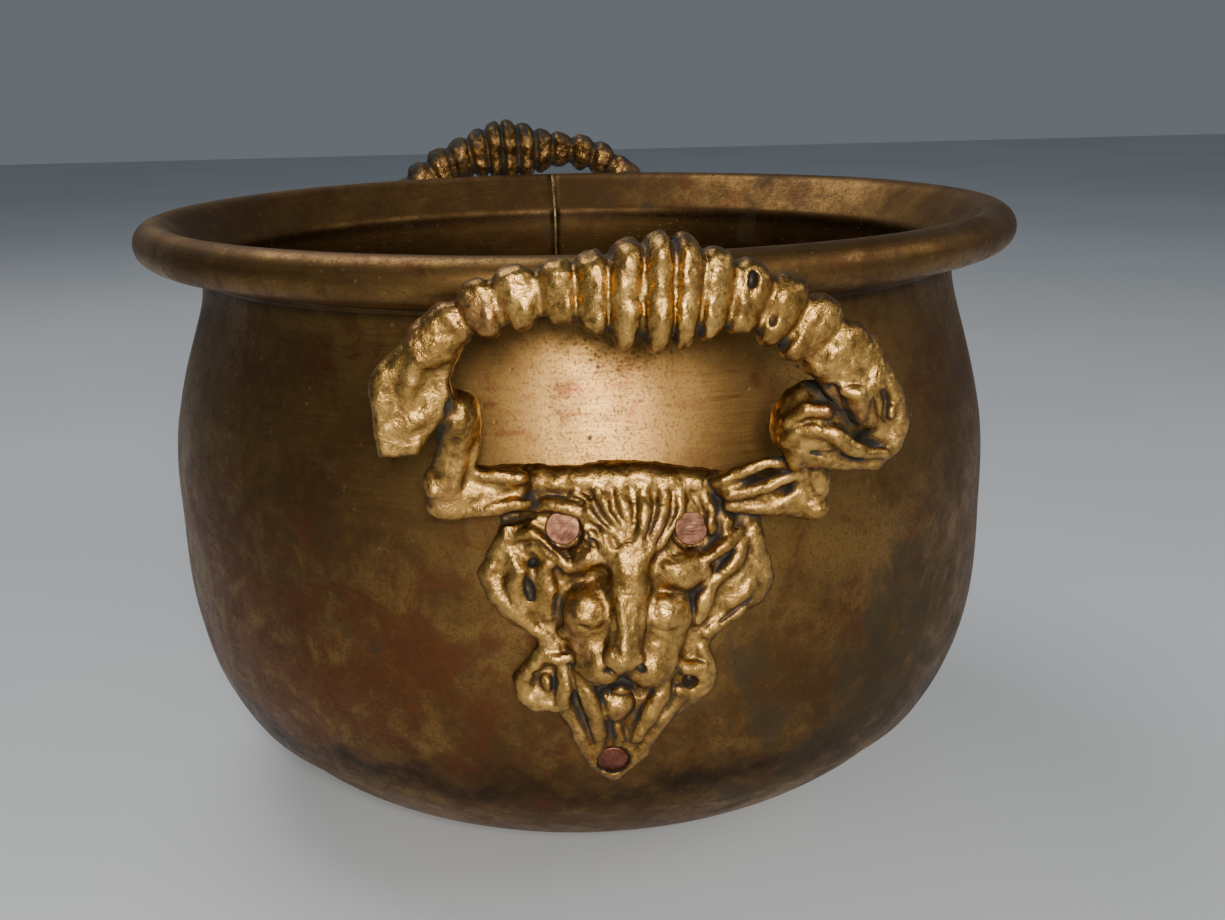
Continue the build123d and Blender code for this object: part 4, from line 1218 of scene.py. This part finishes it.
def braze_look():
    look = Look("spelter")
    patch = look.noise(5, 6.0, 0.65, 0.9, seed=61.0)
    colour = look.mix(look.step(patch, 0.36, 0.6), (0.60, 0.42, 0.16), (0.13, 0.08, 0.035))
    pores = look.step(look.noise(1.6, 4.0, 0.6, seed=63.0), 0.55, 0.7)
    colour = look.mix(pores, colour, (0.04, 0.025, 0.015))
    look.bump((patch, 0.2, 0.6), (look.noise(0.9, 3.0, 0.6, seed=65.0), 0.06, 0.5))
    return look.finish(colour, look.step(patch, 0.3, 0.7, 0.34, 0.56), 0.95)


def wire_look():
    look = Look("iron_wire")
    rust = look.noise(4, 6.0, 0.65, 0.6, seed=71.0)
    colour = look.mix(look.step(rust, 0.4, 0.62), (0.16, 0.15, 0.14), (0.16, 0.06, 0.025))
    look.bump((rust, 0.15, 0.6))
    return look.finish(colour, look.step(rust, 0.3, 0.7, 0.4, 0.75), look.step(rust, 0.4, 0.62, 0.95, 0.2))


def floor_look():
    look = Look("pale_floor")
    cloud = look.step(look.noise(400, 3.0, 0.5), 0.35, 0.65)
    colour = look.mix(cloud, (0.60, 0.62, 0.64), (0.56, 0.585, 0.61))
    look.bump((look.noise(6, 3.0, 0.5), 0.05, 0.3))
    return look.finish(colour, 0.6, 0.0)


# ---------------------------------------------------------------- studio
BELLY = (0, 0, 0.1)
FLOOR_HALF = 4
LENS_MM = 39.6
CAMERA_AT = (-0.0362, -0.4811, 0.2426)
CAMERA_TURNS = (16.06, 5.6, 1.15)       # pitch, yaw and roll, degrees


def add_camera():
    data = bpy.data.cameras.new("camera")
    data.lens = LENS_MM
    data.sensor_width = 36
    data.clip_start = 0.01
    cam = bpy.data.objects.new("camera", data)
    bpy.context.scene.collection.objects.link(cam)
    cam.location = CAMERA_AT
    pitch, yaw, roll = (radians(a) for a in CAMERA_TURNS)
    forward = Vector((sin(yaw) * cos(pitch), cos(yaw) * cos(pitch), -sin(pitch)))
    aim = forward.to_track_quat("-Z", "Y").to_matrix().to_4x4()
    cam.rotation_euler = (aim @ Matrix.Rotation(-roll, 4, "Z")).to_euler()
    bpy.context.scene.camera = cam


def add_stage():
    mesh = bpy.data.meshes.new("floor")
    corners = [(x * FLOOR_HALF, y * FLOOR_HALF, 0) for x, y in ((-1, -1), (1, -1), (1, 1), (-1, 1))]
    mesh.from_pydata(corners, [], [(0, 1, 2, 3)])
    floor = bpy.data.objects.new("floor", mesh)
    bpy.context.scene.collection.objects.link(floor)
    mesh.materials.append(floor_look())


def add_light(name, place, size, power, colour=(1, 1, 1)):
    """Round soft lamp that points at the pot's belly."""
    data = bpy.data.lights.new(name, "AREA")
    data.shape = "DISK"
    data.size = size
    data.energy = power
    data.color = colour
    lamp = bpy.data.objects.new(name, data)
    bpy.context.scene.collection.objects.link(lamp)
    lamp.location = place
    lamp.rotation_euler = (Vector(BELLY) - Vector(place)).to_track_quat("-Z", "Y").to_euler()


def add_studio():
    add_light("key", (0.0, -0.98, 0.48), 0.26, 11, (1.0, 0.97, 0.92))
    add_light("side", (1.3, -0.5, 0.9), 0.8, 4.5)
    add_light("top", (-0.5, 0.5, 1.4), 1.0, 9)
    world = bpy.data.worlds.new("studio")
    bpy.context.scene.world = world
    world.use_nodes = True
    background = world.node_tree.nodes["Background"].inputs
    background["Color"].default_value = (0.62, 0.70, 0.78, 1)
    background["Strength"].default_value = 0.22


# ---------------------------------------------------------------- the pot
add_camera()
add_stage()
add_studio()
sheet, cast, spelter = sheet_look(), cast_look(), braze_look()
build_wall(sheet)
build_pan(sheet)
build_seam(spelter)
build_lap(spelter)
build_handles(cast)
pink_copper = rivet_look("worn_copper", (0.34, 0.160, 0.088), (0.16, 0.066, 0.04))
dark_copper = rivet_look("dark_copper", (0.26, 0.09, 0.06), (0.12, 0.045, 0.03))
seed = 80
for which in ("front", "rear"):
    for name in RIVET_SEATS:
        seed += 1
        build_rivet(which, name, dark_copper if name == "lower" else pink_copper, seed)
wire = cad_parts["rim_wire"]
wire.data.materials.clear()
wire.data.materials.append(wire_look())
